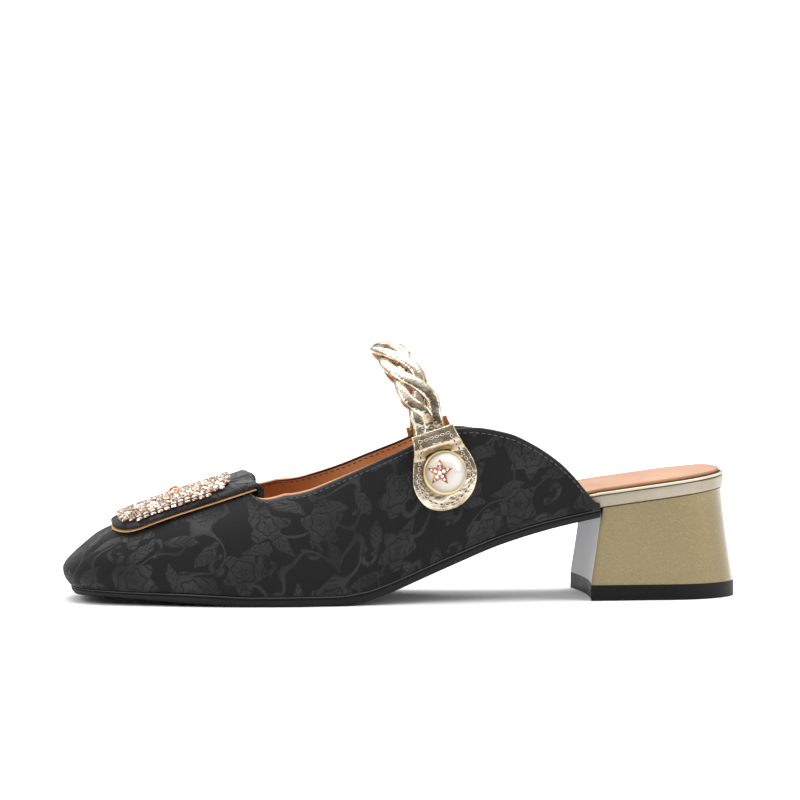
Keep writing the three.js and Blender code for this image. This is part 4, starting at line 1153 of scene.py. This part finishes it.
class MULE_OT_plate(bpy.types.Operator):
    """Makes the stone-set plate and its ring"""

    bl_idname = "mule.plate"
    bl_label = "Flap plate"

    def execute(self, context):
        pitch = context.scene.mule_trim.stone
        plate_x = THROAT_X - FLAP_LENGTH + FLAP_BACK + PLATE_MARGIN + PLATE_LENGTH / 2

        def top(x, y):
            return flap_top(x, y) + GAP + 0.5

        def base(u, v, w):
            place = math.sin((u - 0.5) * (math.pi - 2 * TIP_CUT))
            half = PLATE_WIDTH / 2 * power(1 - power(abs(place), PLATE_POWER), 1 / PLATE_POWER)
            x, y = plate_x + PLATE_LENGTH / 2 * place, FLAP_SIDE + mix(-half, half, v)
            return Vector((x, y, top(x, y) - 0.6 + w * 1.1))

        # The near-black brown of the plate's base is painted shade in the gaps between the stones
        mesh = plated("plate base, painted shade between stones", "#33241a", 0.4)
        bm, _ = block(even(30), even(20), [], base)
        piece("plate_base", bm, mesh, slot="stones", replaces=("flap_plate",))
        random.seed(7)
        bm = bmesh.new()
        rows = int(PLATE_WIDTH / pitch)
        for row in range(rows + 1):
            off = mix(-1, 1, row / rows)
            y = FLAP_SIDE + off * (PLATE_WIDTH / 2 + 0.6)
            half = PLATE_LENGTH / 2 * power(1 - power(abs(off) * 0.97, PLATE_POWER), 1 / PLATE_POWER) - 0.6
            count = max(int(2 * half / (pitch * 1.3)), 1)
            for k in range(count + 1):
                x = plate_x + mix(-half, half, (k + 0.5 * (row % 2)) / (count + 0.5))
                slope = math.atan2(top(x + 1, y) - top(x - 1, y), 2)
                roll = math.atan2(top(x, y + 1) - top(x, y - 1), 2)
                tilt = [random.uniform(-0.14, 0.14) for _ in range(2)]
                turned = Matrix.Rotation(roll + tilt[0], 4, "X") @ Matrix.Rotation(-slope + tilt[1], 4, "Y")
                place = Matrix.Translation((x, y, top(x, y) + 0.62 - 0.4 * off**10)) @ turned
                spin = Matrix.Rotation(random.uniform(-0.15, 0.35), 4, "Z")
                long = spin @ Matrix.Diagonal((1.4, 1.0, 1, 1))
                bmesh.ops.create_cone(
                    bm,
                    cap_ends=True,
                    segments=8,
                    radius1=pitch * 0.46,
                    radius2=pitch * 0.36,
                    depth=0.5,
                    matrix=Matrix.Scale(MM, 4) @ place @ long,
                )
        # Each stone's tint, from brown to near white, is painted glitter
        stones = stones_with_painted_glitter("champagne cut stones", "#a57f62", "#f0dccb", 0.2)
        piece("plate_stones", bm, stones, slot="stones", sharp=5)

        ring_x = plate_x
        lift = top(ring_x, FLAP_SIDE) + 1.3
        turned = Matrix.Rotation(math.radians(-30), 4, "Y") @ Matrix.Rotation(math.radians(24), 4, "X")
        place = Matrix.Translation((ring_x, FLAP_SIDE, lift)) @ turned
        bm = ring(2.1, 0.42, 40, 12, place)
        rose = plated("rose gold plating", "#c98457", 0.22)
        piece("plate_ring", bm, rose, slot="rose_gold", replaces=("flap_ring",), sharp=80)
        return {"FINISHED"}


def ring(radius, wire, around, sides, place):
    """A closed ring of round wire, spun about the Z axis of place."""
    bm = bmesh.new()
    across = Matrix.Translation((radius, 0, 0)) @ Matrix.Rotation(math.pi / 2, 4, "X")
    bmesh.ops.create_circle(bm, segments=sides, radius=wire, matrix=across)
    bmesh.ops.spin(
        bm,
        geom=bm.verts[:] + bm.edges[:],
        cent=(0, 0, 0),
        axis=(0, 0, 1),
        angle=2 * math.pi,
        steps=around,
        use_merge=True,
    )
    bmesh.ops.remove_doubles(bm, verts=bm.verts[:], dist=1e-5)
    bmesh.ops.recalc_face_normals(bm, faces=bm.faces[:])
    bmesh.ops.transform(bm, matrix=Matrix.Scale(MM, 4) @ place, verts=bm.verts[:])
    return bm


def turned(profile, around, place):
    """A body of revolution about the Y axis of place, from its outline of (radius, height)."""
    bm = bmesh.new()
    points = [bm.verts.new((radius, height, 0)) for radius, height in profile]
    edges = [bm.edges.new(pair) for pair in zip(points, points[1:])]
    bmesh.ops.spin(
        bm,
        geom=points + edges,
        cent=(0, 0, 0),
        axis=(0, 1, 0),
        angle=2 * math.pi,
        steps=around,
        use_merge=True,
    )
    bmesh.ops.remove_doubles(bm, verts=bm.verts[:], dist=1e-5)
    bmesh.ops.recalc_face_normals(bm, faces=bm.faces[:])
    bmesh.ops.transform(bm, matrix=Matrix.Scale(MM, 4) @ place, verts=bm.verts[:])
    return bm


class MULE_OT_strap(bpy.types.Operator):
    """Makes the three foil-leather strands of the braided strap"""

    bl_idname = "mule.strap"
    bl_label = "Braided strap"

    def execute(self, context):
        sizes = context.scene.mule_trim
        # The foil's dark patches, 5 mm across, are painted shade and painted dark reflections
        gold = leather(
            "light gold foil leather", sizes.foil, "#8a755a", 0.16, 0.9, 1.5, 5, 0.5, Metallic=0.95
        )
        copper = leather("copper leather back", sizes.backing, "#8a5228", 0.42, 0.7, Metallic=0.25)
        for k in range(3):

            def place(t, a, k=k):
                centre, wide, thick = strand_frame(k, t)
                angle = 2 * math.pi * a
                across = math.copysign(abs(math.cos(angle)) ** 0.8, math.cos(angle))
                deep = math.copysign(abs(math.sin(angle)) ** 0.75, math.sin(angle))
                puff = 1.12 if deep > 0 else 0.85
                return centre + wide * (STRAND_WIDTH / 2 * across) + thick * (STRAND_THICK / 2 * deep * puff)

            bm = tube(220, sizes.strand_sides, place)
            cloth = bm.loops.layers.uv["Cloth"]
            girth = max(loop[cloth].uv.y for face in bm.faces for loop in face.loops)
            for face in bm.faces:
                middle = sum(loop[cloth].uv.y for loop in face.loops) / len(face.loops) / girth
                face.material_index = 1 if 0.58 < middle < 0.92 else 0
            hidden = ("braided_strap",) if k == 0 else ()
            piece(f"strap_strand_{k + 1}", bm, gold, copper, slot="foil", replaces=hidden, sharp=80)
            line = []
            for i in range(161):
                centre, _, thick = strand_frame(k, mix(0.1, 0.9, i / 160))
                line.append((centre - thick * (STRAND_THICK / 2 * 0.85), -thick))
            # The stitches are real; their dark brown also paints the shade in their dents
            holes = thread("copper back stitches, painted dent shade", "#6d3f1e")
            piece(f"strand_stitches_{k + 1}", beads(walk(line, 2.6, k), 1.3, 0.5, 0.3), holes, slot="foil")
        return {"FINISHED"}


class MULE_OT_tabs(bpy.types.Operator):
    """Makes the two crinkled foil tabs, their backing and their stitches"""

    bl_idname = "mule.tabs"
    bl_label = "Tabs"

    def execute(self, context):
        sizes = context.scene.mule_trim
        # The foil's dark patches, 6 mm across, are painted shade and painted dark reflections
        foil = leather(
            "crinkled gold foil leather", sizes.foil, "#a08c70", 0.19, 1.6, 3.5, 6, 0.5, Metallic=0.92
        )
        tan = leather("tan tab backing", "#c27b42", "#9a5a2c", 0.5, 0.7)
        pale = thread("champagne thread", "#ded4c2")
        # The dark beads over the stitches are painted shade in the needle holes
        dark = thread("painted shade in needle holes", "#3a2616")
        for side, name in ((-1, "tab_lateral"), (1, "tab_medial")):

            def place(u, v, w, side=side, low=0.25, high=TAB_THICK, spread=0.0):
                lower = math.sin(u * (math.pi / 2 - TIP_CUT))
                near_face = min(w, 1 - w) * (high - low)
                corner = 0.45
                drawn = rounded(near_face, corner) - spread
                down = mix(drawn, TAB_LENGTH - drawn, lower)
                across = mix(1, -1, v) * (tab_half(lower) - drawn)
                dome = 0.35 * (1 - (2 * v - 1) ** 6) * smooth(8 * u) * smooth(8 * (1 - u)) * w * (high > 1)
                at = mix(low, high, w) + dome
                return tab_face(side, down, across, at)

            def backing(u, v, w):
                return place(u, v, w, low=0.0, high=0.35, spread=0.0)

            across = eased(18)
            through = [0.08, 0.2, 0.35, 0.5, 0.65, 0.8, 0.92]
            for part, cuts, way, material, hidden in (
                (name + "_leather", through, place, foil, (name,)),
                (name + "_backing", [0.5], backing, tan, ()),
            ):
                bm, _ = block(even(40), across, cuts, way)
                bmesh.ops.recalc_face_normals(bm, faces=bm.faces[:])
                piece(part, bm, material, slot="foil", replaces=hidden, sharp=80)

            def seam(s, inset=2.1, side=side):
                turn = mix(-1, 1, s)
                u = 1 - abs(turn)
                lower = math.sin(u * math.pi / 2)
                down = mix(inset + 0.3, TAB_LENGTH - inset, lower)
                across = math.copysign(max(tab_half(clamp01(lower)) - inset, 0), turn)
                face = tab_face(side, down, across, TAB_THICK + 0.34)
                return face, Vector((0, side, 0.12)).normalized()

            line = [seam(s) for s in [i / 240 for i in range(241)]]
            holes = walk(line, 2.2)
            top = []
            for i in range(25):
                across = mix(-1, 1, i / 24) * (tab_half(0.06) - 2.1)
                face = tab_face(side, 2.4, across, TAB_THICK + 0.3)
                top.append((face, Vector((0, side, 0.12)).normalized()))
            holes += walk(top, 2.1, 0.6)
            # The dark beads paint the shade in the needle holes; the pale ones are the thread
            piece(name + "_holes", beads(holes, 1.45, 0.6, 0.4, 0.16), dark, slot="foil")
            piece(name + "_stitches", beads(holes, 1.85, 0.95, 0.36, 0.02), pale, slot="foil")
        return {"FINISHED"}


class MULE_OT_pearl(bpy.types.Operator):
    """Makes the pearl, its seat ring and its star"""

    bl_idname = "mule.pearl"
    bl_label = "Pearl and star"

    def execute(self, context):
        place = ornament_frame()
        radius = PEARL_RADIUS + SEAT_RING_MARGIN
        seat = [(0, 0), (radius, 0), (radius, 0.5), (radius - 0.2, 0.95), (radius - 0.6, SEAT_RING_THICK)]
        seat += [(radius - 1.4, SEAT_RING_THICK), (0, SEAT_RING_THICK)]
        cream = plated("pale gold cup", "#c4b187", 0.34)
        cup = turned(seat, 64, place)
        piece("pearl_cup", cup, cream, slot="rose_gold", replaces=("pearl_seat",), sharp=50)
        up = Matrix.Translation((0, SEAT_RING_THICK + 0.05, 0))
        dome = [(0, 0), (PEARL_RADIUS - 0.5, 0), (PEARL_RADIUS - 0.1, 0.3)]
        for i in range(25):
            angle = i / 24 * math.pi / 2
            dome.append((PEARL_RADIUS * math.cos(angle), 0.6 + (PEARL_DEPTH - 0.6) * math.sin(angle)))
        # The pearl's brown edge colour is painted shade
        milky = nacre("imitation pearl", "#cac5bd", "#8f7a5a", tuple(place.col[1][:3]))
        piece("pearl_dome", turned(dome, 72, place @ up), milky, slot="pearl", replaces=("pearl",), sharp=60)

        lean = Matrix.Rotation(STAR_TURN, 4, "Z")
        bm = bmesh.new()
        bmesh.ops.create_circle(bm, cap_ends=True, segments=10, radius=STAR_RADIUS)
        for vert in bm.verts:
            if round(math.atan2(vert.co.x, vert.co.y) * 5 / math.pi) % 2:
                vert.co *= 0.46
        upright = Matrix.Translation((0, PEARL_DEPTH + 0.35, 0)) @ Matrix.Rotation(-math.pi / 2, 4, "X")
        bmesh.ops.transform(bm, matrix=upright, verts=bm.verts[:])
        bm.normal_update()
        made = bmesh.ops.extrude_face_region(bm, geom=bm.faces[:])
        raised = [item for item in made["geom"] if isinstance(item, bmesh.types.BMVert)]
        bmesh.ops.translate(bm, verts=raised, vec=(0, 1.0, 0))
        top = [item for item in made["geom"] if isinstance(item, bmesh.types.BMFace)]
        bmesh.ops.inset_region(bm, faces=top, thickness=0.55, depth=0.0)
        bmesh.ops.translate(bm, verts=list({v for f in top for v in f.verts}), vec=(0, -0.35, 0))
        bmesh.ops.recalc_face_normals(bm, faces=bm.faces[:])
        bmesh.ops.transform(bm, matrix=Matrix.Scale(MM, 4) @ place @ up @ lean, verts=bm.verts[:])
        rose = bpy.data.materials["rose gold plating"]
        piece("star_setting", bm, rose, slot="rose_gold", replaces=("star",), sharp=20)

        bm = bmesh.new()
        random.seed(3)
        spots = [(0.0, 0.0, 0.95)]
        for i in range(5):
            angle = i * 2 * math.pi / 5 + math.pi / 2
            for reach, size in ((1.75, 0.85), (3.2, 0.6)):
                spots.append((reach * math.cos(angle), -reach * math.sin(angle), size))
        for x, z, size in spots:
            tilt = Matrix.Rotation(random.uniform(-0.4, 0.4), 4, "X") @ Matrix.Rotation(-math.pi / 2, 4, "X")
            at = Matrix.Translation((x, PEARL_DEPTH + 1.4, z)) @ tilt
            bmesh.ops.create_cone(
                bm,
                cap_ends=True,
                segments=8,
                radius1=size,
                radius2=size * 0.5,
                depth=0.7,
                matrix=Matrix.Scale(MM, 4) @ place @ up @ lean @ at,
            )
        # Each crystal's tint, from grey to white, is painted glitter
        clear = stones_with_painted_glitter("clear cut crystals", "#b4b4bc", "#fbfbff", 0.08)
        piece("star_crystals", bm, clear, slot="pearl", sharp=5)
        return {"FINISHED"}


class MULE_OT_insole(bpy.types.Operator):
    """Makes the wrapped insole board with its rolled edge, and the leather sock"""

    bl_idname = "mule.insole"
    bl_label = "Insole"

    def execute(self, context):
        sizes = context.scene.mule_sole
        foil = leather("champagne foil leather rim", "#a59c8c", "#948a78", 0.38, 0.8, Metallic=0.35)
        skin = leather("tan leather sock", sizes.sock, "#946546", 0.5, 0.9, Specular_IOR_Level=0.4)

        def outline(u, v, inset):
            drawn = WALL + 2 * GAP + tuck_at(outline_x(u, 0, BACK_X)) + inset
            x = outline_x(u, drawn, BACK_X)
            return x, across_at(x, drawn, v)

        def rim(u, v, w):
            x, y = outline(u, v, 0.0)
            thick = board_thick(x)
            high = max(thick - sizes.piping - 0.25, 0.5 * thick)
            at = w / 0.8 * high if w < 0.8 else high + (w - 0.8) / 0.2 * (thick - high)
            inset = rounded(min(at, high - at) if w < 0.8 else 0.0, 0.5) if w < 0.8 else 1.1
            x, y = outline(u, v, inset)
            return Vector((x, y, bed(x) + GAP + at))

        bm, shares = block(even(110), even(10), [0.06, 0.14, 0.3, 0.5, 0.66, 0.74, 0.799, 0.801], rim)
        for face in bm.faces:
            low = min(shares[vert][2] for vert in face.verts) > 0.79
            back = min(shares[vert][0] for vert in face.verts) > 0.66
            face.material_index = (1 if back else 2) if low else 0
        # The dark band on the rim's back, under the piping, is painted shade cast by the piping
        shade = leather("painted shade under the piping", "#2e241b", "#1d1712", 0.7, 0.7)
        piece("insole_rim", bm, foil, shade, skin, slot="rim", replaces=("insole_board",), sharp=50)

        def piping(s, a):
            u = 1 - abs(2 * s - 1)
            u = mix(0.5, 1.0, u)
            v = 0.0 if s < 0.5 else 1.0
            x, y = outline(u, v, sizes.piping * 0.42)
            thick = board_thick(x)
            out = Vector((x, y, 0)) - Vector((*outline(u, v, 2.0), 0))
            out = out.normalized() if out.length > 1e-6 else Vector((1, 0, 0))
            angle = 2 * math.pi * a
            centre = Vector((x, y, bed(x) + GAP + thick - sizes.piping / 2))
            return centre + (out * math.cos(angle) + Vector((0, 0, 1)) * math.sin(angle)) * sizes.piping / 2

        # The piping's lighter champagne is partly painted highlight on the rim's rounded top edge
        piping_highlight = leather("champagne piping, painted highlight", "#c9bfab", "#b5a98f", 0.3, 0.8, Metallic=0.45)
        piece("rim_piping", tube(240, 12, piping), piping_highlight, slot="rim", sharp=80)

        def sock(u, v, w):
            near_face = min(w, 1 - w) * SOCK_THICK
            x, y = outline(u, v, SOCK_INSET - 0.5 + rounded(near_face, 0.55))
            crown = SOCK_CROWN * 4 * v * (1 - v) * w * smooth(u * 10) * smooth((1 - u) * 10)
            return Vector((x, y, bed(x) + board_thick(x) + GAP + w * (SOCK_THICK + 0.2) + crown))

        bm, _ = block(even(110), even(16), [0.08, 0.2, 0.35, 0.5, 0.65, 0.8, 0.92], sock)
        piece("sock_leather", bm, skin, slot="sock", replaces=("insole_sock",), sharp=50)
        return {"FINISHED"}


class MULE_OT_sole(bpy.types.Operator):
    """Makes the rubber outsole with its ribbed lower edge"""

    bl_idname = "mule.sole"
    bl_label = "Outsole"

    def execute(self, context):
        sizes = context.scene.mule_sole
        lean = BREAST_LEAN * sole_thick(BREAST_X) / (bed(BREAST_X) - LIFT_HEIGHT)
        end = BREAST_X - 2 * GAP - lean
        below = [(0, 1.2), (0.1, 0.5), (0.25, 0.1), (0.62, 0)]
        groove = [(0.7, 0.4), (0.76, 0.4), (0.82, 0), (0.94, 0.05), (1, 0.5)]
        profile = Curve(below + groove)

        def edge(u, v, w):
            x = outline_x(u, 0, end)
            inset = SOLE_INSET + tuck_at(x) + profile(w)
            x = outline_x(u, inset, end)
            y = across_at(x, inset, v)
            hollow = (BREAST_HOLLOW - GAP) * 4 * v * (1 - v) * smooth((u - 0.9) * 10)
            return Vector((x + hollow, y, mix(tread(x), bed(x) + 0.1, w)))

        cuts = [0.05, 0.1, 0.17, 0.25, 0.4, 0.6, 0.66, 0.7, 0.76, 0.8, 0.84, 0.9, 0.95]
        black = rubber("moulded black rubber sole", "#0e0e0f", Specular_IOR_Level=0.25)
        # The lighter grey band on the sole's upper bead is a painted highlight
        welt = rubber("rubber welt, painted highlight", "#4a4a4c", Specular_IOR_Level=0.4)
        bm, shares = block(even(120), even(10), cuts, edge)
        for face in bm.faces:
            heights = [shares[vert][2] for vert in face.verts]
            face.material_index = 1 if min(heights) >= 0.84 and max(heights) <= 0.9 else 0
        piece("sole_rubber", bm, black, welt, slot="rubber", replaces=("outsole",))
        line = []
        for i in range(401):
            s = i / 400
            u, v = abs(2 * s - 1) * 0.42, 0.03 if s < 0.5 else 0.97
            at, inner = edge(u, v, 0.0), edge(u, 0.5, 0.0)
            at.z = max(at.z - 0.1, 0.5)
            line.append((at, ((at - inner) * Vector((1, 1, 0))).normalized()))
        places = [(at, normal, Vector((0, 0, 1))) for at, _, normal in walk(line, sizes.rib)]
        piece("sole_ribs", beads(places, 4.0, sizes.rib * 0.62, 1.0), black, slot="rubber")
        return {"FINISHED"}


class MULE_OT_heel(bpy.types.Operator):
    """Makes the lacquered heel block and its rubber top lift"""

    bl_idname = "mule.heel"
    bl_label = "Heel"

    def execute(self, context):
        sizes = context.scene.mule_sole
        across = eased(20)

        def side(u, v, w):
            x, y = heel_plan(u, v, w)
            return Vector((x, y, mix(LIFT_HEIGHT - GAP, bed(x), w)))

        def lift(u, v, w):
            x, y = heel_plan(u, v, 0)
            return Vector((x, y, w * (LIFT_HEIGHT - GAP)))

        pearl = lacquer(
            "pearl gold lacquer",
            sizes.heel,
            "#94855b",
            Metallic=0.65,
            Roughness=0.36,
            Coat_Weight=0.7,
            Coat_Roughness=0.14,
        )
        # The breast's grey is a silver cover and also painted reflection: it stands in for the bright light
        # the front face reflects
        silver_and_reflection = lacquer(
            "pearl lacquer, silver with painted reflection",
            "#828286",
            "#909093",
            Metallic=0.0,
            Roughness=0.4,
        )
        black = rubber("rubber top lift", "#070707", Specular_IOR_Level=0.2)
        for name, cuts, way, material, slot, hidden in (
            ("heel_lacquer", even(16), side, pearl, "heel", "heel_block"),
            ("lift_rubber", even(4), lift, black, "rubber", "top_lift"),
        ):
            bm, shares = block(even(48), across, cuts, way)
            ends = {vert for vert, at in shares.items() if at[0] == 0 and at[1] in (0, 1)}
            corners = [edge for edge in bm.edges if ends.issuperset(edge.verts)]
            bmesh.ops.bevel(
                bm,
                geom=corners,
                offset=0.7 * MM,
                offset_type="OFFSET",
                affect="EDGES",
                segments=3,
                profile=0.5,
                material=-1,
            )
            for face in bm.faces:
                face.material_index = 1 if all(shares.get(vert, (1,))[0] == 0 for vert in face.verts) else 0
            # On the heel, the front faces take the breast's grey, partly painted reflection
            front = silver_and_reflection if material is pearl else black
            piece(name, bm, material, front, slot=slot, replaces=(hidden,), sharp=35)
        return {"FINISHED"}


class MULE_OT_stage(bpy.types.Operator):
    """Makes the floor, the lamps, the sky and the camera"""

    bl_idname = "mule.stage"
    bl_label = "Stage"

    def execute(self, context):
        settings = context.scene.mule_stage
        material, tree, shader = finish("matt studio paper", Roughness=0.9, Specular_IOR_Level=0.1)
        place = node(tree, "TexCoord")["Object"]
        tooth = node(tree, "TexNoise", {"Vector": place, "Scale": 1000 / 3, "Detail": 2.0})["Fac"]
        whites = {0: tooth, 6: linear(settings.floor), 7: linear("#ffffff")}
        paper = node(tree, "Mix", whites, data_type="RGBA")[2]
        tree.links.new(paper, shader["Base Color"])
        bm = bmesh.new()
        bmesh.ops.create_grid(bm, x_segments=8, y_segments=8, size=30.0)
        mesh = bpy.data.meshes.new("floor")
        bm.to_mesh(mesh)
        bm.free()
        mesh.materials.append(material)
        floor = bpy.data.objects.new("floor", mesh)
        bpy.context.collection.objects.link(floor)

        # White round the horizon and overhead. A dark band between them and a dim camera side
        # give the foil its contrast
        world = bpy.data.worlds.new("studio")
        world.use_nodes = True
        context.scene.world = world
        sky = world.node_tree
        sky.nodes.clear()
        ray = node(sky, "SeparateXYZ", {0: node(sky, "TexCoord")["Generated"]})
        ramp = sky.nodes.new("ShaderNodeValToRGB")
        stops = ((0.0, 0.78), (0.07, 0.78), (0.13, 0.25), (0.3, 0.25), (0.4, 1.0), (1.0, 1.0))
        for index, (at, grey) in enumerate(stops):
            stop = ramp.color_ramp.elements[index] if index < 2 else ramp.color_ramp.elements.new(at)
            stop.position = at
            stop.color = (grey, grey, grey, 1)
        sky.links.new(ray["Z"], ramp.inputs[0])
        dim = {"Value": ray["Y"], "From Min": -0.85, "From Max": -0.4, "To Min": 0.3}
        front = node(sky, "MapRange", dim)[0]
        strength = node(sky, "Math", {0: front, 1: 1.35}, operation="MULTIPLY")[0]
        glow = node(sky, "Background", {"Color": ramp.outputs[0], "Strength": strength})[0]
        node(sky, "OutputWorld", {"Surface": glow})

        Lamp = namedtuple("Lamp", "name at aim wide high watts")
        lamps = [
            Lamp("top", (0.05, 0.1, 1.3), (0.04, 0.0, 0.0), 1.3, 1.0, 16.0),
            Lamp("front_left", (-1.0, -1.0, 0.8), (0.0, 0.0, 0.05), 0.5, 0.9, 7.0),
            Lamp("right", (1.2, -0.5, 0.7), (0.1, 0.0, 0.03), 0.5, 0.9, 5.0),
            Lamp("back", (0.2, 1.2, 0.9), (0.05, 0.0, 0.05), 1.0, 0.5, 5.0),
        ]
        for lamp in lamps:
            data = bpy.data.lights.new(lamp.name, "AREA")
            data.shape = "RECTANGLE"
            data.size, data.size_y = lamp.wide, lamp.high
            data.energy = lamp.watts * settings.light
            light = bpy.data.objects.new(lamp.name, data)
            light.location = lamp.at
            light.rotation_mode = "QUATERNION"
            light.rotation_quaternion = (Vector(lamp.aim) - Vector(lamp.at)).to_track_quat("-Z", "Y")
            bpy.context.collection.objects.link(light)

        camera = bpy.data.cameras.new("camera")
        camera.sensor_width = 36.0
        camera.lens = 168.4
        camera.clip_end = 100.0
        eye = bpy.data.objects.new("camera", camera)
        eye.location = (-0.1053, -1.3923, 0.143)
        eye.rotation_mode = "QUATERNION"
        eye.rotation_quaternion = (Vector((0.041, 0.0, 0.0736)) - eye.location).to_track_quat("-Z", "Y")
        bpy.context.collection.objects.link(eye)
        context.scene.camera = eye
        context.scene.view_settings.view_transform = "Standard"
        return {"FINISHED"}


STEPS = (
    MULE_OT_stage,
    MULE_OT_upper,
    MULE_OT_flap,
    MULE_OT_plate,
    MULE_OT_strap,
    MULE_OT_tabs,
    MULE_OT_pearl,
    MULE_OT_insole,
    MULE_OT_sole,
    MULE_OT_heel,
)
SETTINGS = {
    "mule_upper": MuleUpperSettings,
    "mule_trim": MuleTrimSettings,
    "mule_sole": MuleSoleSettings,
    "mule_stage": MuleStageSettings,
}


class MULE_PT_panel(bpy.types.Panel):
    """Lists the mule's settings and the steps that make it"""

    bl_idname = "MULE_PT_panel"
    bl_label = "Block-heel mule"
    bl_space_type = "VIEW_3D"
    bl_region_type = "UI"
    bl_category = "Mule"

    def draw(self, context):
        for name in SETTINGS:
            group = getattr(context.scene, name)
            box = self.layout.box()
            for key in group.__annotations__:
                box.prop(group, key)
        for step in STEPS:
            self.layout.operator(step.bl_idname)


def register():
    for group in SETTINGS.values():
        bpy.utils.register_class(group)
    for name, group in SETTINGS.items():
        setattr(bpy.types.Scene, name, bpy.props.PointerProperty(type=group))
    for step in (*STEPS, MULE_PT_panel):
        bpy.utils.register_class(step)


def unregister():
    for step in reversed((*STEPS, MULE_PT_panel)):
        bpy.utils.unregister_class(step)
    for name, group in SETTINGS.items():
        delattr(bpy.types.Scene, name)
        bpy.utils.unregister_class(group)


def main():
    register()
    for step in STEPS:
        area, name = step.bl_idname.split(".")
        getattr(getattr(bpy.ops, area), name)()


if __name__ == "__main__":
    main()
